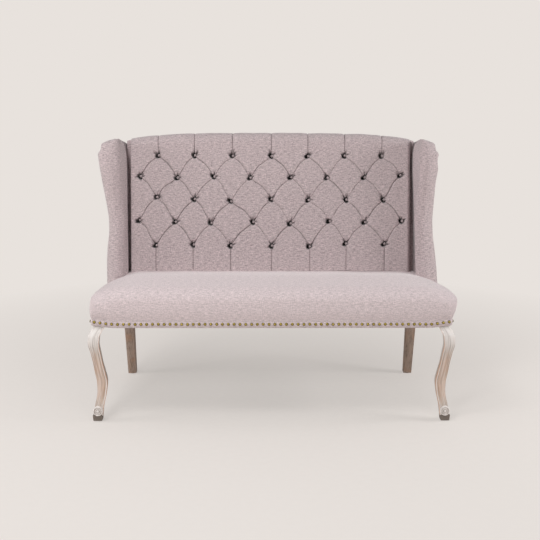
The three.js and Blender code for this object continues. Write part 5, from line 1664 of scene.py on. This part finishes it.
class SETTEE_OT_covers(bpy.types.Operator):
    """Stretches the outside back and the dust cover over the frame"""
    bl_idname = "settee.covers"
    bl_label = "Outside back and dust cover"

    panel_half = 0.632
    panel_thickness = 4 * MM
    panel_front = BACK_REAR_DEPTH + FIT_GAP
    panel_drop = 4 * MM
    panel_foot = -15 * MM
    panel_cells = (45, 89)
    edge = 5 * MM
    swell = 3 * MM
    swell_reach = 60 * MM
    dust_sag = 2.5 * MM
    dust_cell = 0.03
    dust_thickness = 1.2 * MM

    def execute(self, context):
        rows_up, columns_across = (cells + 1 for cells in self.panel_cells)
        columns = np.linspace(-1, 1, columns_across)
        x = columns * self.panel_half
        top, foot = arch(x) - self.panel_drop, self.panel_foot - 1.5 * side_fall(x, BACK_FOOT_Y)
        rows = []
        for share in np.linspace(0, 1, rows_up):
            z = foot + (top - foot) * share
            rim = np.minimum((1 - np.abs(columns)) * self.panel_half, np.minimum(z - foot, top - z))
            rounded = np.sqrt(np.clip(1 - (1 - np.clip(rim / self.edge, 0, 1)) ** 2, 0, 1))
            puff = self.swell * np.clip(rim / self.swell_reach, 0, 1) ** 0.7
            depth = self.panel_front + self.panel_thickness * (0.35 + 0.65 * rounded) + puff
            rows.append(stacked(x, depth, z))
        outer = np.array(rows)
        inner = outer.copy()
        inner[:, :, 1] = self.panel_front
        mesh = joined("outside_back", [
            skin("shell", placed(points, BACK_FRAME), outer[:, :, [0, 2]]) for points in (outer, inner)
        ])
        self.stitch_rim(mesh, rows_up, columns_across)
        panel = linked("outside_back", welded(mesh))
        declared(panel, ["outside_back_panel"], back_cloth(context))
        self.dust_cover()
        return {"FINISHED"}

    def stitch_rim(self, mesh, rows, columns):
        """Joins the edges of the two skins all round."""
        total = rows * columns
        index = np.arange(total).reshape(rows, columns)
        rim = [*index[0, :-1], *index[:-1, -1], *index[-1, :0:-1], *index[:0:-1, 0]]
        with edited(mesh) as shape:
            shape.verts.ensure_lookup_table()
            for a, b in zip(rim, rim[1:] + rim[:1]):
                shape.faces.new([shape.verts[int(i)] for i in (a, b, b + total, a + total)])

    def dust_cover(self):
        """The dust cover as one thin cloth that sags a little between the rails."""
        low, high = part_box("dust_cover")
        mesh = frame["nodes"]["dust_cover"].data.copy()
        with edited(mesh) as shape:
            bmesh.ops.remove_doubles(shape, verts=shape.verts, dist=0.01 * MM)
            below = [f for f in shape.faces if f.calc_center_median().z < high.z - 0.1 * MM]
            bmesh.ops.delete(shape, geom=below, context="FACES")
            for axis in (0, 1):
                normal = Vector((1 - axis, axis, 0))
                for cut in np.arange(low[axis], high[axis], self.dust_cell)[1:]:
                    whole = [*shape.verts, *shape.edges, *shape.faces]
                    bmesh.ops.bisect_plane(shape, geom=whole, plane_co=normal * cut, plane_no=normal)
            for vert in shape.verts:
                across = math.cos(math.pi / 2 * vert.co.x / high.x)
                along = math.sin(math.pi * (vert.co.y - low.y) / (high.y - low.y))
                vert.co.z -= self.dust_sag * max(0.0, across) * max(0.0, along)
            area = sum(face.calc_area() for face in shape.faces)
            bmesh.ops.recalc_face_normals(shape, faces=shape.faces)
        piece = linked("dust_cloth", mesh)
        with_modifier(piece, "SOLIDIFY", thickness=self.dust_thickness, offset=-1.0)
        smoothed(piece.data)
        declared(piece, ["dust_cover"], coarse_cloth("dust_cloth", srgb(52, 48, 45), 1.2 * MM))


class SETTEE_OT_frame_finish(bpy.types.Operator):
    """Gives the hidden frame, its fastenings, the webbing and the glides their materials"""
    bl_idname = "settee.frame_finish"
    bl_label = "Frame finishes"

    def execute(self, context):
        finishes = {
            "frame_wood": plain_wood("beech", srgb(205, 178, 138)),
            "bolt_steel": plated_steel("zinc_plate", srgb(168, 172, 174)),
            "glide_nylon": moulded_nylon("black_nylon", srgb(34, 33, 32)),
            "webbing": coarse_cloth("jute_web", srgb(104, 92, 80), 2 * MM),
            "hessian": coarse_cloth("hessian", srgb(172, 146, 106), 1.6 * MM),
            "foam": coarse_cloth("foam", srgb(232, 222, 200), 3 * MM),
        }
        for row in frame["record"]["subparts"]:
            material = finishes.get(row["material_slot"])
            if material is not None:
                painted(frame["nodes"][row["node"]].data, material)
        return {"FINISHED"}


# The stage

class SETTEE_OT_stage(bpy.types.Operator):
    """Sets the camera, the soft lights, the pale floor and the background"""
    bl_idname = "settee.stage"
    bl_label = "Camera, lights and floor"

    floor_rings = (0.0, 0.5, 1.0, 2.0, 3.0, 5.0, 9.0)
    floor_segments = 96
    floor_fade = (0.5, 2.4)
    floor_glow = 0.5
    light_size = 0.9
    light_target = Vector((0, 0, 0.55))
    light_places = {
        "front": (-1.2, -3.2, 2.2), "fill": (1.2, -3.2, 2.2), "high": (-1.2, -1.4, 3.0),
        "right": (2.6, -0.4, 1.4), "left": (-2.6, -0.4, 1.4),
    }

    def execute(self, context):
        settings = context.scene.settee_stage
        self.camera(context, settings)
        self.floor(settings)
        self.world(context, settings)
        for name, place in self.light_places.items():
            self.light(name, Vector(place), getattr(settings, name + "_power"))
        context.scene.view_settings.view_transform = "Standard"
        return {"FINISHED"}

    def camera(self, context, settings):
        data = bpy.data.cameras.new("camera")
        data.lens, data.sensor_width = settings.camera_lens, 36.0
        camera = bpy.data.objects.new("camera", data)
        context.scene.collection.objects.link(camera)
        turn = Matrix.Rotation(-settings.camera_yaw, 4, "Z")
        tip = Matrix.Rotation(math.pi / 2 - settings.camera_pitch, 4, "X")
        lean = Matrix.Rotation(-settings.camera_roll, 4, "Z")
        place = (settings.camera_side, FRONT_Y - settings.camera_distance, settings.camera_height)
        camera.matrix_world = Matrix.Translation(place) @ turn @ tip @ lean
        context.scene.camera = camera

    def floor(self, settings):
        angles = np.linspace(0, 2 * math.pi, self.floor_segments + 1)
        points = np.array([stacked(r * np.cos(angles), r * np.sin(angles), 0.0) for r in self.floor_rings])
        mesh = welded(skin("floor", points, points[:, :, :2]), capped=False)
        if mesh.polygons[0].normal.z < 0:
            mesh.flip_normals()
        floor = linked("floor", mesh)
        shade = Shading("pale_floor")
        place = shade.solid()
        length = shade.node("VectorMath", place, operation="LENGTH").outputs["Value"]
        speckle = shade.levels(shade.noise(place, 40.0, detail=3.0), 0.3, 0.7)
        base = shade.mix(speckle, tuple(settings.floor), scaled(settings.floor, 0.97))
        shade.done(Base_Color=base, Roughness=0.8)
        glow = shade.node("Emission", (*settings.backdrop, 1.0), 1.0).outputs["Emission"]
        far = shade.levels(length, *self.floor_fade, self.floor_glow, 1.0)
        far = shade.maths("MULTIPLY", far, shade.seen()[0])
        both = shade.node("MixShader", far, shade.surface.outputs["BSDF"], glow)
        shade.named(shade.tree.nodes["Material Output"], Surface=both.outputs["Shader"])
        mesh.materials.append(shade.material)

    def world(self, context, settings):
        """Even light from all round, and a plain backdrop where the camera sees past the floor."""
        world = bpy.data.worlds.new("studio")
        context.scene.world = world
        world.use_nodes = True
        nodes, made = Nodes(world.node_tree), world.node_tree.nodes
        seen, ray = nodes.seen()
        seen = nodes.maths("MAXIMUM", seen, ray["Is Transmission Ray"])
        nodes.named(made["Background"], Color=(1.0, 0.99, 0.98, 1.0), Strength=settings.ambient)
        around = made["Background"].outputs["Background"]
        behind = nodes.node("Background", (*settings.backdrop, 1.0)).outputs["Background"]
        both = nodes.node("MixShader", seen, around, behind).outputs["Shader"]
        nodes.named(made["World Output"], Surface=both)

    def light(self, name, place, power):
        data = bpy.data.lights.new(name, "AREA")
        data.energy, data.size = power, self.light_size
        lamp = bpy.data.objects.new(name, data)
        bpy.context.scene.collection.objects.link(lamp)
        aim = (self.light_target - place).to_track_quat("-Z", "Y")
        lamp.matrix_world = Matrix.Translation(place) @ aim.to_matrix().to_4x4()


class SETTEE_PT_panel(bpy.types.Panel):
    """Lists what builds the settee, and the sizes and colours it uses"""
    bl_idname = "SETTEE_PT_panel"
    bl_label = "High back settee"
    bl_space_type = "VIEW_3D"
    bl_region_type = "UI"
    bl_category = "Settee"

    def draw(self, context):
        layout = self.layout
        for operator in OPERATORS:
            layout.operator(operator.bl_idname)
        for key, group in SETTINGS.items():
            box = layout.box()
            for name in group.__annotations__:
                box.prop(getattr(context.scene, key), name)


SETTINGS = {
    "settee_seat": SeatSettings,
    "settee_back": BackSettings,
    "settee_wings": WingSettings,
    "settee_nails": NailSettings,
    "settee_legs": LegSettings,
    "settee_stage": StageSettings,
}
OPERATORS = (
    SETTEE_OT_stage, SETTEE_OT_seat, SETTEE_OT_hem, SETTEE_OT_back, SETTEE_OT_buttons,
    SETTEE_OT_wings, SETTEE_OT_front_legs, SETTEE_OT_rear_legs, SETTEE_OT_covers, SETTEE_OT_frame_finish,
)


def register():
    for group in SETTINGS.values():
        bpy.utils.register_class(group)
    for key, group in SETTINGS.items():
        setattr(bpy.types.Scene, key, PointerProperty(type=group))
    for kind in (*OPERATORS, SETTEE_PT_panel):
        bpy.utils.register_class(kind)


def unregister():
    for kind in (SETTEE_PT_panel, *reversed(OPERATORS)):
        bpy.utils.unregister_class(kind)
    for key, group in SETTINGS.items():
        delattr(bpy.types.Scene, key)
        bpy.utils.unregister_class(group)


def main():
    register()
    bpy.ops.settee.stage()
    bpy.ops.settee.seat()
    bpy.ops.settee.hem()
    bpy.ops.settee.back()
    bpy.ops.settee.buttons()
    bpy.ops.settee.wings()
    bpy.ops.settee.front_legs()
    bpy.ops.settee.rear_legs()
    bpy.ops.settee.covers()
    bpy.ops.settee.frame_finish()


if __name__ == "__main__":
    main()
